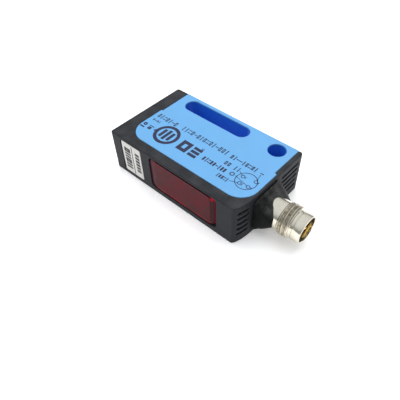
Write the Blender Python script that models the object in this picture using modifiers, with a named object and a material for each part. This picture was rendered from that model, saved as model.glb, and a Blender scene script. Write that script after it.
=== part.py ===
"""Compact photoelectric reflex sensor with an M8 plug connector.

The sensor lies on one of its two large faces.  +X runs from the control end to the connector, +Y from the
window at the front to the mounting edge at the back, and +Z through the thickness.  The origin is at the
middle of the whole sensor's footprint, on the surface that it lies on.

Places are given from the body's corner at the control end, the front and the lower face, by corner_point().
"""

import math

import bmesh
import bpy
from mathutils import Euler, Vector

# ------------------------------------------------------------------------------------------------------
# Driving dimensions, in metres
# ------------------------------------------------------------------------------------------------------

# Whole body
BODY_LENGTH = 0.0409            # control end to connector end
BODY_WIDTH = 0.0245             # window to mounting edge
BODY_THICKNESS = 0.0120
BODY_EDGE = 0.0005              # rounding of the frame's upright corners
CONNECTOR_REACH = 0.0113        # connector end to the plug's tip

# Clearances
SEAM = 0.00015                  # between mouldings that meet
SEAT_GAP = 0.0002               # between a piece and what it is mounted on
RUNNING_GAP = 0.0002            # round a turning piece
INNER_GAP = 0.0003              # between inner parts that only stand near each other

# Frame
FRONT_WALL = 0.0017
CONTROL_WALL = 0.0024
CONNECTOR_WALL = 0.0024
END_NOSE_DEPTH = 0.0018         # how far the connector end's front corner is rounded back, along X
END_NOSE_LENGTH = 0.0072        # and along Y
GROOVE_COUNT = 5
GROOVE_PITCH = 0.00172
GROOVE_HEIGHT = 0.0008
GROOVE_DEPTH = 0.0005
FRONT_GROOVE_START = 0.0009     # from the front face
FRONT_GROOVE_LENGTH = 0.0034
BACK_GROOVE_LENGTH = 0.0072
BACK_GROOVE_MARGIN = 0.0014     # from the mounting edge

# Mounting housing
SKIN = 0.0011                   # thickness of the two large skins
BLUE_FRONT_MARGIN = 0.0027      # black left in front of the skins
BLUE_CONTROL_MARGIN = 0.00345   # black left beside the skins, at the control end
BLUE_CONNECTOR_MARGIN = 0.00060
BLUE_CORNER_RADIUS = 0.0048
FLANGE_DEPTH = 0.0099           # front of the solid flange to the mounting edge
FLANGE_CONTROL_MARGIN = 0.00390
FLANGE_CONNECTOR_MARGIN = 0.00120
MOUNT_ROW = 0.0033              # mounting edge to the line through slot and hole
SLOT_WIDTH = 0.0043
SLOT_LENGTH = 0.0205
SLOT_MARGIN = 0.0066            # control end to the slot
HOLE_DIAMETER = 0.0045
HOLE_MARGIN = 0.00525           # connector end to the hole's centre

# Window and sticker
WINDOW_MARGIN = 0.00615         # connector end to the window
WINDOW_LENGTH = 0.0211
WINDOW_HEIGHT = 0.0096
WINDOW_CORNER = 0.0012
WINDOW_CHAMFER = 0.0010         # slope at each end of the window
WINDOW_CHAMFER_DEPTH = 0.0007
WINDOW_LUG = 0.0010             # how far the window's back plate reaches past the opening, each end
WINDOW_LUG_THICKNESS = 0.0008
WINDOW_OVERLAP = 0.0001         # how far the window's plug runs into its back plate
GASKET_THICKNESS = 0.0004
GASKET_WIDTH = 0.0007
STICKER_START = 0.00385         # from the control end
STICKER_TO_WINDOW = 0.0031
STICKER_HEIGHT = 0.0097
STICKER_THICKNESS = 0.0001
STICKER_CORNER = 0.0003

# Optics
CARRIER_INSET = 0.0002          # carrier's end to the window's end
CARRIER_DEPTH = 0.0066
LENS_DIAMETER = 0.0074
LENS_EDGE = 0.0006
LENS_CROWN = 0.0011
LENS_POCKET = 0.0030            # depth of the carrier's front pockets
BEAM_BORE = 0.0044              # diameter of the narrow bores behind the pockets
POLARISER_THICKNESS = 0.0003
EMITTER_DIAMETER = 0.0030
EMITTER_HEIGHT = 0.0017
DIODE_SIZE = 0.0028
DIODE_HEIGHT = 0.0010
DIODE_EDGE = 0.0002
SHIELD_LENGTH = 0.0080
SHIELD_HEIGHT = 0.0050
SHIELD_DEPTH = 0.0020
SHIELD_WALL = 0.0003

# Boards and their components
BOARD = 0.0008                  # thickness of both boards
COMPONENT_GAP = 0.0001          # solder under a component
COMPONENT_EDGE = 0.0001
COMPONENT_SPACE = 0.0005        # between components
EVALUATION_CHIP = (0.0030, 0.0023, 0.0008)
VOLTAGE_REGULATOR = (0.0020, 0.0023, 0.0010)
OUTPUT_DRIVER = (0.0036, 0.0023, 0.0010)
FILTER_CAPACITOR = (0.0016, 0.0031, 0.0019)

# Controls
CONTROL_BASE_WIDTH = 0.0038
CONTROL_BASE_LENGTH = 0.0030
CONTROL_HEAD_RADIUS = 0.0017
CONTROL_SHAFT_RADIUS = 0.0010
CONTROL_RECESS = 0.0004         # heads lie this far below the end face
CONTROL_SHAFT_ENGAGEMENT = 0.0014
CONTROL_SLOT_WIDTH = 0.0005
CONTROL_SLOT_DEPTH = 0.0006
CONTROL_EDGE = 0.0002
ARROW_TIP = 0.00135             # selector's arrow, from the knob's axis
ARROW_HALF_WIDTH = 0.00095
ARROW_TAIL = 0.0012
CONTROL_SPACING = 0.0044
CONTROL_SEAL_SECTION = 0.00027  # radius of the seal ring's section
INDICATOR_RADIUS = 0.00075
INDICATOR_SPACING = 0.0042
INDICATOR_MARGIN = 0.0021       # from the flange's front
INDICATOR_BODY_LENGTH = 0.0018
INDICATOR_LEG = 0.0002          # half the width of a lamp's legs
LIGHT_GUIDE_TAIL = 0.0006       # how far a light guide stands into the chamber

# Connector
PLUG_AXIS_TO_FLANGE = 0.0045    # plug's axis to the front of the flange
BOOT_WIDTH = 0.0094
BOOT_HEIGHT = 0.0099
BOOT_REACH = 0.0045             # connector end to the tips of the boot's two cheeks
BOOT_SPIGOT = 0.0072            # side of the boot's square part in the frame's wall
SPIGOT_TAIL = 0.0002            # how far the spigot stands into the chamber
BOOT_RIM = 0.0003               # boot's wall round the collar, at the tip
BOOT_FOOT = 0.0003              # height of the block's straight foot
BOOT_SHOULDER = 0.0013          # connector end to the block's shoulder
BOOT_SHOULDER_DROP = 0.0008
BOOT_SHOULDER_INSET = 0.0002
BOOT_EDGE = 0.0004
BOOT_NOTCH = 0.0026             # where the boot's top and bottom dip below the collar
BOOT_NOTCH_HEIGHT = 0.0035      # half the boot's height there
BOOT_NOTCH_INSET = 0.0001
BOOT_NOTCH_CORNER = 0.0008
BOOT_TIP_HEIGHT = 0.00235       # half the height of a cheek's tip
BOOT_TIP_CORNER = 0.0015
PLUG_TAIL_RADIUS = 0.0030
PLUG_COLLAR_RADIUS = 0.00365
PLUG_COLLAR_START = 0.0021      # all plug lengths are from the connector end
PLUG_RIDGE_START = 0.0054
PLUG_RIDGE_LENGTH = 0.0005
THREAD_RADIUS = 0.0040          # M8 x 1
THREAD_ROOT_RADIUS = 0.00345
THREAD_START = 0.0060
THREAD_PITCH = 0.0010
THREAD_TURNS = 2
PLUG_NECK_RADIUS = 0.00345
PLUG_SLEEVE_START = 0.0091
PLUG_SLEEVE_RADIUS = 0.0036
PLUG_BORE_RADIUS = 0.0031
PLUG_BORE_DEPTH = 0.0058
INSERT_HEAD_LENGTH = 0.0012
INSERT_TAIL_RADIUS = 0.0023
PLUG_EDGE = 0.0002              # chamfers of the turned plug
THREAD_CREST = 0.0002           # width of a crest
THREAD_FOOT = 0.0008            # width of a crest's foot
PLUG_TAIL_START = -0.0012
PIN_RADIUS = 0.0005
PIN_CIRCLE = 0.0015             # radius of the circle that the pins stand on
PIN_RECESS = 0.0008             # pins end this far inside the plug's tip
PIN_TAIL = 0.0007               # pins reach this far behind the insert
WIRE_RADIUS = 0.0004
WIRE_GAP = 0.0002
WIRE_STUB = 0.0002              # straight start of a wire
LOWER_WIRE_RUN = 0.0010         # how far a wire from a lower pin runs back
UPPER_WIRE_RUN = 0.0026

PIN_COUNT = 4

SHELL_STEPS = 40
ROUND_STEPS = 32
MIDDLE_ROUND_STEPS = 24
SMALL_ROUND_STEPS = 16
RING_STEPS = 20
RING_SECTION_STEPS = 8
ARC_STEPS = 8
CORNER_STEPS = 4
DOME_STEPS = 4
WIRE_STEPS = 2                  # rounding of a wire's section
QUARTER_TURN = math.radians(90)
EIGHTH_TURN = QUARTER_TURN / 2
CHAMFER_ANGLE = math.radians(40)  # edges sharper than this are chamfered
SHARP_ANGLE = math.radians(35)  # edges sharper than this stay sharp on smooth parts
WELD_DISTANCE = 1e-6
WINDOW_BLADE = 0.004            # thickness of the blades that slope the window's ends
OVERCUT = 0.001                 # how far a cutter runs past the face that it opens

# ------------------------------------------------------------------------------------------------------
# Derived places
# ------------------------------------------------------------------------------------------------------

OVERALL_LENGTH = BODY_LENGTH + CONNECTOR_REACH
CORNER = Vector((-OVERALL_LENGTH / 2, -BODY_WIDTH / 2, 0.0))

FLANGE_FRONT = BODY_WIDTH - FLANGE_DEPTH
CHAMBER_FRONT = FRONT_WALL
CHAMBER_BACK = FLANGE_FRONT - SEAM
CHAMBER_LOW = SKIN + SEAM
CHAMBER_HIGH = BODY_THICKNESS - SKIN - SEAM
CHAMBER_END = BODY_LENGTH - CONNECTOR_WALL
MID_HEIGHT = BODY_THICKNESS / 2

WINDOW_END = BODY_LENGTH - WINDOW_MARGIN
WINDOW_START = WINDOW_END - WINDOW_LENGTH
STICKER_END = WINDOW_START - STICKER_TO_WINDOW
WINDOW_BACK = CHAMBER_FRONT + SEAT_GAP + WINDOW_LUG_THICKNESS
GASKET_FRONT = WINDOW_BACK + SEAT_GAP
CARRIER_FRONT = GASKET_FRONT + GASKET_THICKNESS + SEAT_GAP
CARRIER_BACK = CARRIER_FRONT + CARRIER_DEPTH
CARRIER_START = WINDOW_START + CARRIER_INSET
CARRIER_END = WINDOW_END - CARRIER_INSET
CARRIER_LENGTH = CARRIER_END - CARRIER_START
EMITTER_X = CARRIER_START + CARRIER_LENGTH / 4
RECEIVER_X = CARRIER_END - CARRIER_LENGTH / 4

BOARD_LOW = CHAMBER_LOW + INNER_GAP
BOARD_TOP = BOARD_LOW + BOARD
BOARD_START = CONTROL_WALL + INNER_GAP
BOARD_END = CHAMBER_END - INNER_GAP - SPIGOT_TAIL
BOARD_FRONT = GASKET_FRONT + GASKET_THICKNESS + INNER_GAP
BOARD_BACK = CHAMBER_BACK - INNER_GAP
MOUNT_LEVEL = BOARD_TOP + COMPONENT_GAP
STANDING_LOW = BOARD_TOP + SEAT_GAP
STANDING_HIGH = CHAMBER_HIGH - INNER_GAP
BEAM_HEIGHT = (STANDING_LOW + STANDING_HIGH) / 2
OPTICS_BOARD_FRONT = CARRIER_BACK + SEAT_GAP
OPTICS_BOARD_BACK = OPTICS_BOARD_FRONT + BOARD

CONTROL_BASE_START = CONTROL_WALL + 2 * CONTROL_SEAL_SECTION + 2 * RUNNING_GAP
ADJUSTER_Y = CHAMBER_FRONT + INNER_GAP + CONTROL_BASE_WIDTH / 2
SELECTOR_Y = ADJUSTER_Y + CONTROL_SPACING
INDICATOR_Y = FLANGE_FRONT - INDICATOR_MARGIN

PLUG_Y = FLANGE_FRONT - PLUG_AXIS_TO_FLANGE
PLUG_BORE_START = CONNECTOR_REACH - PLUG_BORE_DEPTH


def corner_point(x, y, z):
    """A point measured from the body's corner at the control end, the front and the lower face."""
    return CORNER + Vector((x, y, z))


# ------------------------------------------------------------------------------------------------------
# Scene, collections and materials
# ------------------------------------------------------------------------------------------------------

def clear_scene():
    for leftover in list(bpy.data.objects):
        bpy.data.objects.remove(leftover, do_unlink=True)


def new_collection(name):
    collection = bpy.data.collections.new(name)
    bpy.context.scene.collection.children.link(collection)
    return collection


clear_scene()
PARTS = new_collection("photoelectric_sensor")
CUTTERS = new_collection("cutters")


def make_material(name, colour, roughness, metallic=0.0):
    material = bpy.data.materials.new(name)
    material.use_nodes = True
    shader = material.node_tree.nodes["Principled BSDF"]
    shader.inputs["Base Color"].default_value = (*colour, 1.0)
    shader.inputs["Roughness"].default_value = roughness
    shader.inputs["Metallic"].default_value = metallic
    material.diffuse_color = (*colour, 1.0)
    return material


BLACK_PLASTIC = ("black_plastic", (0.035, 0.037, 0.04), 0.5)
BLUE_PLASTIC = ("blue_plastic", (0.13, 0.42, 0.80), 0.4)
RED_WINDOW = ("red_window", (0.25, 0.02, 0.035), 0.12)
PAPER = ("sticker_paper", (0.82, 0.81, 0.78), 0.7)
FOAM = ("black_foam", (0.02, 0.02, 0.02), 0.9)
CLEAR_LENS = ("clear_lens", (0.85, 0.87, 0.9), 0.05)
FILTER_FILM = ("filter_film", (0.12, 0.13, 0.14), 0.15)
LAMP_RESIN = ("lamp_resin", (0.8, 0.2, 0.15), 0.15)
DIODE_RESIN = ("diode_resin", (0.06, 0.03, 0.05), 0.2)
TIN = ("tin_plate", (0.7, 0.7, 0.68), 0.3, 1.0)
BOARD_LAMINATE = ("board_laminate", (0.02, 0.18, 0.08), 0.45)
CHIP_RESIN = ("chip_resin", (0.03, 0.03, 0.032), 0.55)
CAPACITOR_RESIN = ("capacitor_resin", (0.75, 0.5, 0.1), 0.45)
CONTROL_HOUSING = ("control_housing", (0.08, 0.12, 0.3), 0.45)
CONTROL_KNOB = ("control_knob", (0.75, 0.74, 0.70), 0.4)
SEAL_RUBBER = ("seal_rubber", (0.02, 0.02, 0.02), 0.75)
GREEN_GUIDE = ("green_guide", (0.2, 0.75, 0.25), 0.15)
YELLOW_GUIDE = ("yellow_guide", (0.9, 0.55, 0.1), 0.15)
GREEN_LAMP = ("green_lamp", (0.3, 0.8, 0.35), 0.2)
YELLOW_LAMP = ("yellow_lamp", (0.9, 0.6, 0.15), 0.2)
NICKEL = ("nickel_plate", (0.68, 0.65, 0.57), 0.28, 1.0)
INSERT_PLASTIC = ("insert_plastic", (0.03, 0.03, 0.03), 0.5)
GOLD = ("gold_plate", (0.85, 0.62, 0.25), 0.25, 1.0)
BROWN_WIRE = ("brown_wire", (0.22, 0.09, 0.04), 0.5)
WHITE_WIRE = ("white_wire", (0.85, 0.85, 0.83), 0.5)
BLUE_WIRE = ("blue_wire", (0.05, 0.15, 0.55), 0.5)
BLACK_WIRE = ("black_wire", (0.02, 0.02, 0.02), 0.5)


def material_for(node_name, finish):
    finish_name, *values = finish
    return make_material(f"{node_name}_{finish_name}", *values)


# ------------------------------------------------------------------------------------------------------
# Modelling tools
# ------------------------------------------------------------------------------------------------------

def object_from_bmesh(name, shape, location=(0, 0, 0), rotation=(0, 0, 0)):
    mesh = bpy.data.meshes.new(name)
    shape.to_mesh(mesh)
    shape.free()
    solid = bpy.data.objects.new(name, mesh)
    solid.location = location
    solid.rotation_euler = rotation
    CUTTERS.objects.link(solid)
    solid.hide_render = True
    solid.display_type = "WIRE"
    return solid


def box(name, low, high):
    """A box between two opposite corners, both measured from the body's corner."""
    low_point = corner_point(*low)
    high_point = corner_point(*high)
    shape = bmesh.new()
    bmesh.ops.create_cube(shape, size=1.0)
    bmesh.ops.scale(shape, vec=high_point - low_point, verts=shape.verts)
    return object_from_bmesh(name, shape, (low_point + high_point) / 2)


def cylinder(name, radius, length, start, direction, steps=ROUND_STEPS):
    """A cylinder that leaves start, measured from the body's corner, in a direction."""
    shape = bmesh.new()
    bmesh.ops.create_cone(shape, cap_ends=True, segments=steps, radius1=radius, radius2=radius, depth=length)
    bmesh.ops.translate(shape, vec=(0, 0, length / 2), verts=shape.verts)
    rotation = Vector(direction).to_track_quat("Z", "Y").to_euler()
    return object_from_bmesh(name, shape, corner_point(*start), rotation)


def ring(name, radius, section_radius, centre, direction):
    """A ring of round section, its centre measured from the body's corner."""
    bpy.ops.mesh.primitive_torus_add(
        major_radius=radius, minor_radius=section_radius, major_segments=RING_STEPS,
        minor_segments=RING_SECTION_STEPS,
        location=corner_point(*centre), rotation=Vector(direction).to_track_quat("Z", "Y").to_euler())
    solid = bpy.context.object
    solid.name = name
    for owner in list(solid.users_collection):
        owner.objects.unlink(solid)
    CUTTERS.objects.link(solid)
    return solid


def curve_to_mesh_object(name, curve_data, location, rotation):
    """A mesh object made from a curve, with its caps welded."""
    guide = bpy.data.objects.new(f"{name}_curve", curve_data)
    guide.location = location
    guide.rotation_euler = rotation
    CUTTERS.objects.link(guide)
    bpy.context.view_layer.update()
    evaluated = guide.evaluated_get(bpy.context.evaluated_depsgraph_get())
    mesh = bpy.data.meshes.new_from_object(evaluated)
    shape = bmesh.new()
    shape.from_mesh(mesh)
    bmesh.ops.remove_doubles(shape, verts=shape.verts, dist=WELD_DISTANCE)
    bmesh.ops.recalc_face_normals(shape, faces=shape.faces)
    shape.to_mesh(mesh)
    shape.free()
    solid = bpy.data.objects.new(name, mesh)
    solid.matrix_world = guide.matrix_world
    CUTTERS.objects.link(solid)
    solid.hide_render = True
    solid.display_type = "WIRE"
    bpy.data.objects.remove(guide, do_unlink=True)
    return solid


def outline_solid(name, outline, thickness, location, rotation=(0, 0, 0)):
    """A flat outline in the local XY plane, given half of the thickness to each side."""
    curve_data = bpy.data.curves.new(name, "CURVE")
    curve_data.dimensions = "2D"
    curve_data.fill_mode = "BOTH"
    curve_data.extrude = thickness / 2
    spline = curve_data.splines.new("POLY")
    spline.points.add(len(outline) - 1)
    for point, (x, y) in zip(spline.points, outline):
        point.co = (x, y, 0.0, 1.0)
    spline.use_cyclic_u = True
    return curve_to_mesh_object(name, curve_data, location, rotation)


def plan_solid(name, outline, low, high):
    """An upright solid over an outline in plan, measured from the body's corner."""
    return outline_solid(name, outline, high - low, corner_point(0, 0, (low + high) / 2))


def arc(centre, radius_x, radius_y, start_degrees, end_degrees, steps=ARC_STEPS):
    """Points along part of an ellipse, both ends included."""
    points = []
    for step in range(steps + 1):
        angle = math.radians(start_degrees + (end_degrees - start_degrees) * step / steps)
        points.append((centre[0] + radius_x * math.cos(angle), centre[1] + radius_y * math.sin(angle)))
    return points


def rounded_rectangle(low_x, low_y, high_x, high_y, radius, steps=ARC_STEPS):
    outline = arc((high_x - radius, high_y - radius), radius, radius, 0, 90, steps)
    outline += arc((low_x + radius, high_y - radius), radius, radius, 90, 180, steps)
    outline += arc((low_x + radius, low_y + radius), radius, radius, 180, 270, steps)
    outline += arc((high_x - radius, low_y + radius), radius, radius, 270, 360, steps)
    return outline


def front_plate(name, low_x, low_z, high_x, high_z, radius, front, back, steps=CORNER_STEPS):
    """A rounded plate that stands across Y, between two depths behind the front face."""
    centre_x = (low_x + high_x) / 2
    centre_z = (low_z + high_z) / 2
    half_x = (high_x - low_x) / 2
    half_z = (high_z - low_z) / 2
    outline = rounded_rectangle(-half_x, -half_z, half_x, half_z, radius, steps)
    place = corner_point(centre_x, (front + back) / 2, centre_z)
    return outline_solid(name, outline, back - front, place, (QUARTER_TURN, 0, 0))


def turned(name, profile, start, direction, steps=ROUND_STEPS):
    """A turned solid.  The profile lists (radius, height) down its outer side, to the axis or as a loop."""
    mesh = bpy.data.meshes.new(name)
    shape = bmesh.new()
    corners = [shape.verts.new((radius, 0.0, height)) for radius, height in profile]
    for first, second in zip(corners, corners[1:]):
        shape.edges.new((first, second))
    if profile[0][0] > 0.0:
        shape.edges.new((corners[-1], corners[0]))
    shape.to_mesh(mesh)
    shape.free()
    solid = bpy.data.objects.new(name, mesh)
    solid.location = corner_point(*start)
    solid.rotation_euler = Vector(direction).to_track_quat("Z", "Y").to_euler()
    CUTTERS.objects.link(solid)
    screw = solid.modifiers.new("turn", "SCREW")
    screw.steps = steps
    screw.render_steps = steps
    screw.use_merge_vertices = True
    screw.merge_threshold = WELD_DISTANCE
    screw.use_smooth_shade = False
    solid.hide_render = True
    solid.display_type = "WIRE"
    return solid


def combine(target, other, operation):
    modifier = target.modifiers.new(f"{operation.lower()}_{other.name}", "BOOLEAN")
    modifier.operation = operation
    modifier.solver = "EXACT"
    modifier.object = other


def cut(target, *cutters):
    for cutter in cutters:
        combine(target, cutter, "DIFFERENCE")


def join(target, *others):
    for other in others:
        combine(target, other, "UNION")


def bevel(solid, width):
    modifier = solid.modifiers.new("chamfered_edges", "BEVEL")
    modifier.width = width
    modifier.segments = 1
    modifier.limit_method = "ANGLE"
    modifier.angle_limit = CHAMFER_ANGLE


def as_part(solid, finish, smooth=False):
    """Moves a finished solid to the sensor's collection, under its own name, with its own material."""
    CUTTERS.objects.unlink(solid)
    PARTS.objects.link(solid)
    solid.hide_render = False
    solid.display_type = "TEXTURED"
    solid.data.materials.clear()
    solid.data.materials.append(material_for(solid.name, finish))
    if smooth:
        solid.data.shade_smooth()
        solid.data.set_sharp_from_angle(angle=SHARP_ANGLE)
    return solid


# ------------------------------------------------------------------------------------------------------
# Outlines in plan, measured from the body's corner
# ------------------------------------------------------------------------------------------------------

def body_outline():
    """The body seen from above: the connector end's front corner is a quarter of an ellipse."""
    outline = arc((BODY_LENGTH - END_NOSE_DEPTH, END_NOSE_LENGTH), END_NOSE_DEPTH, END_NOSE_LENGTH, -90, 0)
    back_corner = (BODY_LENGTH - BODY_EDGE, BODY_WIDTH - BODY_EDGE)
    outline += arc(back_corner, BODY_EDGE, BODY_EDGE, 0, 90, CORNER_STEPS)
    outline += arc((BODY_EDGE, BODY_WIDTH - BODY_EDGE), BODY_EDGE, BODY_EDGE, 90, 180, CORNER_STEPS)
    outline += arc((BODY_EDGE, BODY_EDGE), BODY_EDGE, BODY_EDGE, 180, 270, CORNER_STEPS)
    return outline


def skin_outline(grow):
    """The large skins, whose front corners are rounded.  They run a little into the flange."""
    low_x = BLUE_CONTROL_MARGIN - grow
    high_x = BODY_LENGTH - BLUE_CONNECTOR_MARGIN + grow
    low_y = BLUE_FRONT_MARGIN - grow
    high_y = FLANGE_FRONT + grow
    radius = BLUE_CORNER_RADIUS + grow
    outline = [(high_x, high_y), (low_x, high_y)]
    outline += arc((low_x + radius, low_y + radius), radius, radius, 180, 270)
    outline += arc((high_x - radius, low_y + radius), radius, radius, 270, 360)
    return outline


def stadium(centre_x, centre_y, length, width):
    """A slot's outline: two half rounds joined by straight sides."""
    radius = width / 2
    reach = length / 2 - radius
    outline = arc((centre_x + reach, centre_y), radius, radius, -90, 90, ARC_STEPS)
    outline += arc((centre_x - reach, centre_y), radius, radius, 90, 270, ARC_STEPS)
    return outline


# ------------------------------------------------------------------------------------------------------
# Housing
# ------------------------------------------------------------------------------------------------------

def cut_grooves(frame):
    """Rows of finger grooves in the connector end, in front of the boot and behind it."""
    back_start = BODY_WIDTH - BACK_GROOVE_MARGIN - BACK_GROOVE_LENGTH
    rows = ((FRONT_GROOVE_START, FRONT_GROOVE_LENGTH), (back_start, BACK_GROOVE_LENGTH))
    for row, (start, length) in enumerate(rows):
        for number in range(GROOVE_COUNT):
            height = MID_HEIGHT + (number - (GROOVE_COUNT - 1) / 2) * GROOVE_PITCH
            depth = GROOVE_DEPTH if row else GROOVE_DEPTH + END_NOSE_DEPTH / 2
            groove = box(
                f"groove_cutter_{row}_{number}",
                (BODY_LENGTH - depth, start, height - GROOVE_HEIGHT / 2),
                (BODY_LENGTH + OVERCUT, start + length, height + GROOVE_HEIGHT / 2))
            cut(frame, groove)


def make_front_frame():
    frame = plan_solid("front_frame", body_outline(), 0.0, BODY_THICKNESS)
    flange_pocket = box(
        "flange_pocket_cutter",
        (FLANGE_CONTROL_MARGIN - SEAM, FLANGE_FRONT - SEAM, -OVERCUT),
        (BODY_LENGTH - FLANGE_CONNECTOR_MARGIN + SEAM, BODY_WIDTH + OVERCUT, BODY_THICKNESS + OVERCUT))
    upper_pocket = plan_solid(
        "upper_skin_cutter", skin_outline(SEAM), BODY_THICKNESS - SKIN - SEAM, BODY_THICKNESS + OVERCUT)
    lower_pocket = plan_solid("lower_skin_cutter", skin_outline(SEAM), -OVERCUT, SKIN + SEAM)
    chamber = box(
        "chamber_cutter",
        (CONTROL_WALL, CHAMBER_FRONT, SKIN),
        (CHAMBER_END, FLANGE_FRONT, BODY_THICKNESS - SKIN))
    cut(frame, flange_pocket, upper_pocket, lower_pocket, chamber)

    half_height = WINDOW_HEIGHT / 2
    opening = front_plate(
        "window_cutter", WINDOW_START - SEAM, MID_HEIGHT - half_height - SEAM, WINDOW_END + SEAM,
        MID_HEIGHT + half_height + SEAM, WINDOW_CORNER + SEAM, -OVERCUT, FRONT_WALL + OVERCUT)
    sticker_recess = box(
        "sticker_recess_cutter",
        (STICKER_START - SEAM, -OVERCUT, MID_HEIGHT - STICKER_HEIGHT / 2 - SEAM),
        (STICKER_END + SEAM, STICKER_THICKNESS + COMPONENT_GAP, MID_HEIGHT + STICKER_HEIGHT / 2 + SEAM))
    spigot_half = BOOT_SPIGOT / 2 + SEAM
    boot_opening = box(
        "boot_opening_cutter",
        (CHAMBER_END - OVERCUT, PLUG_Y - spigot_half, MID_HEIGHT - spigot_half),
        (BODY_LENGTH + OVERCUT, PLUG_Y + spigot_half, MID_HEIGHT + spigot_half))
    cut(frame, opening, sticker_recess, boot_opening)

    for name, y in (("adjuster", ADJUSTER_Y), ("selector", SELECTOR_Y)):
        cut(frame, cylinder(
            f"{name}_hole_cutter", CONTROL_HEAD_RADIUS + RUNNING_GAP, CONTROL_WALL + 2 * OVERCUT,
            (-OVERCUT, y, MID_HEIGHT), (1, 0, 0), MIDDLE_ROUND_STEPS))
    for name, height in indicator_heights():
        cut(frame, cylinder(
            f"{name}_hole_cutter", INDICATOR_RADIUS + SEAM, CONTROL_WALL + 2 * OVERCUT,
            (-OVERCUT, INDICATOR_Y, height), (1, 0, 0), SMALL_ROUND_STEPS))
    cut_grooves(frame)
    as_part(frame, BLACK_PLASTIC)


def make_mounting_housing():
    flange = box(
        "mounting_housing",
        (FLANGE_CONTROL_MARGIN, FLANGE_FRONT, 0.0),
        (BODY_LENGTH - FLANGE_CONNECTOR_MARGIN, BODY_WIDTH, BODY_THICKNESS))
    upper_skin = plan_solid("upper_skin", skin_outline(0.0), BODY_THICKNESS - SKIN, BODY_THICKNESS)
    lower_skin = plan_solid("lower_skin", skin_outline(0.0), 0.0, SKIN)
    join(flange, upper_skin, lower_skin)
    row_y = BODY_WIDTH - MOUNT_ROW
    slot = plan_solid(
        "slot_cutter", stadium(SLOT_MARGIN + SLOT_LENGTH / 2, row_y, SLOT_LENGTH, SLOT_WIDTH),
        -OVERCUT, BODY_THICKNESS + OVERCUT)
    hole = cylinder(
        "hole_cutter", HOLE_DIAMETER / 2, BODY_THICKNESS + 2 * OVERCUT,
        (BODY_LENGTH - HOLE_MARGIN, row_y, -OVERCUT), (0, 0, 1))
    cut(flange, slot, hole)
    as_part(flange, BLUE_PLASTIC)


def make_front_window():
    """The window's plug fills the frame's opening; its back plate has a lug behind the wall at each end."""
    half_height = WINDOW_HEIGHT / 2
    window = front_plate(
        "front_window", WINDOW_START, MID_HEIGHT - half_height, WINDOW_END, MID_HEIGHT + half_height,
        WINDOW_CORNER, 0.0, CHAMBER_FRONT + SEAT_GAP + WINDOW_OVERLAP)
    back_plate = box(
        "window_back_plate",
        (WINDOW_START - WINDOW_LUG, CHAMBER_FRONT + SEAT_GAP, MID_HEIGHT - half_height),
        (WINDOW_END + WINDOW_LUG, WINDOW_BACK, MID_HEIGHT + half_height))
    join(window, back_plate)
    slope = math.atan2(WINDOW_CHAMFER_DEPTH, WINDOW_CHAMFER)
    for name, edge_x, side in (("control", WINDOW_START, -1), ("connector", WINDOW_END, 1)):
        shape = bmesh.new()
        bmesh.ops.create_cube(shape, size=WINDOW_BLADE)
        bmesh.ops.scale(shape, vec=(1, 1, 2 * WINDOW_HEIGHT / WINDOW_BLADE), verts=shape.verts)
        bmesh.ops.translate(shape, vec=(0, -WINDOW_BLADE / 2, 0), verts=shape.verts)
        middle = corner_point(edge_x - side * WINDOW_CHAMFER / 2, WINDOW_CHAMFER_DEPTH / 2, MID_HEIGHT)
        cut(window, object_from_bmesh(f"window_{name}_chamfer_cutter", shape, middle, (0, 0, side * slope)))
    as_part(window, RED_WINDOW)


def make_window_gasket():
    half_height = WINDOW_HEIGHT / 2
    gasket = box(
        "window_gasket",
        (CARRIER_START, GASKET_FRONT, MID_HEIGHT - half_height),
        (CARRIER_END, GASKET_FRONT + GASKET_THICKNESS, MID_HEIGHT + half_height))
    light_opening = box(
        "gasket_cutter",
        (CARRIER_START + GASKET_WIDTH, GASKET_FRONT - OVERCUT, MID_HEIGHT - half_height + GASKET_WIDTH),
        (CARRIER_END - GASKET_WIDTH, GASKET_FRONT + OVERCUT, MID_HEIGHT + half_height - GASKET_WIDTH))
    cut(gasket, light_opening)
    as_part(gasket, FOAM)


def make_front_sticker():
    half_height = STICKER_HEIGHT / 2
    sticker = front_plate(
        "front_sticker", STICKER_START, MID_HEIGHT - half_height, STICKER_END, MID_HEIGHT + half_height,
        STICKER_CORNER, 0.0, STICKER_THICKNESS)
    as_part(sticker, PAPER)


# ------------------------------------------------------------------------------------------------------
# Optics
# ------------------------------------------------------------------------------------------------------

def make_optics_carrier():
    carrier = box(
        "optics_carrier",
        (CARRIER_START, CARRIER_FRONT, STANDING_LOW),
        (CARRIER_END, CARRIER_BACK, STANDING_HIGH))
    for name, x in (("emitter", EMITTER_X), ("receiver", RECEIVER_X)):
        pocket = cylinder(
            f"{name}_pocket_cutter", LENS_DIAMETER / 2 + SEAM, LENS_POCKET + OVERCUT,
            (x, CARRIER_FRONT - OVERCUT, BEAM_HEIGHT), (0, 1, 0))
        bore = cylinder(
            f"{name}_bore_cutter", BEAM_BORE / 2, CARRIER_DEPTH + 2 * OVERCUT,
            (x, CARRIER_FRONT - OVERCUT, BEAM_HEIGHT), (0, 1, 0), MIDDLE_ROUND_STEPS)
        cut(carrier, pocket, bore)
    as_part(carrier, BLACK_PLASTIC)


def make_polariser(name, x):
    front = CARRIER_FRONT + SEAT_GAP
    film = cylinder(name, LENS_DIAMETER / 2, POLARISER_THICKNESS, (x, front, BEAM_HEIGHT), (0, 1, 0))
    as_part(film, FILTER_FILM, smooth=True)


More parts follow.
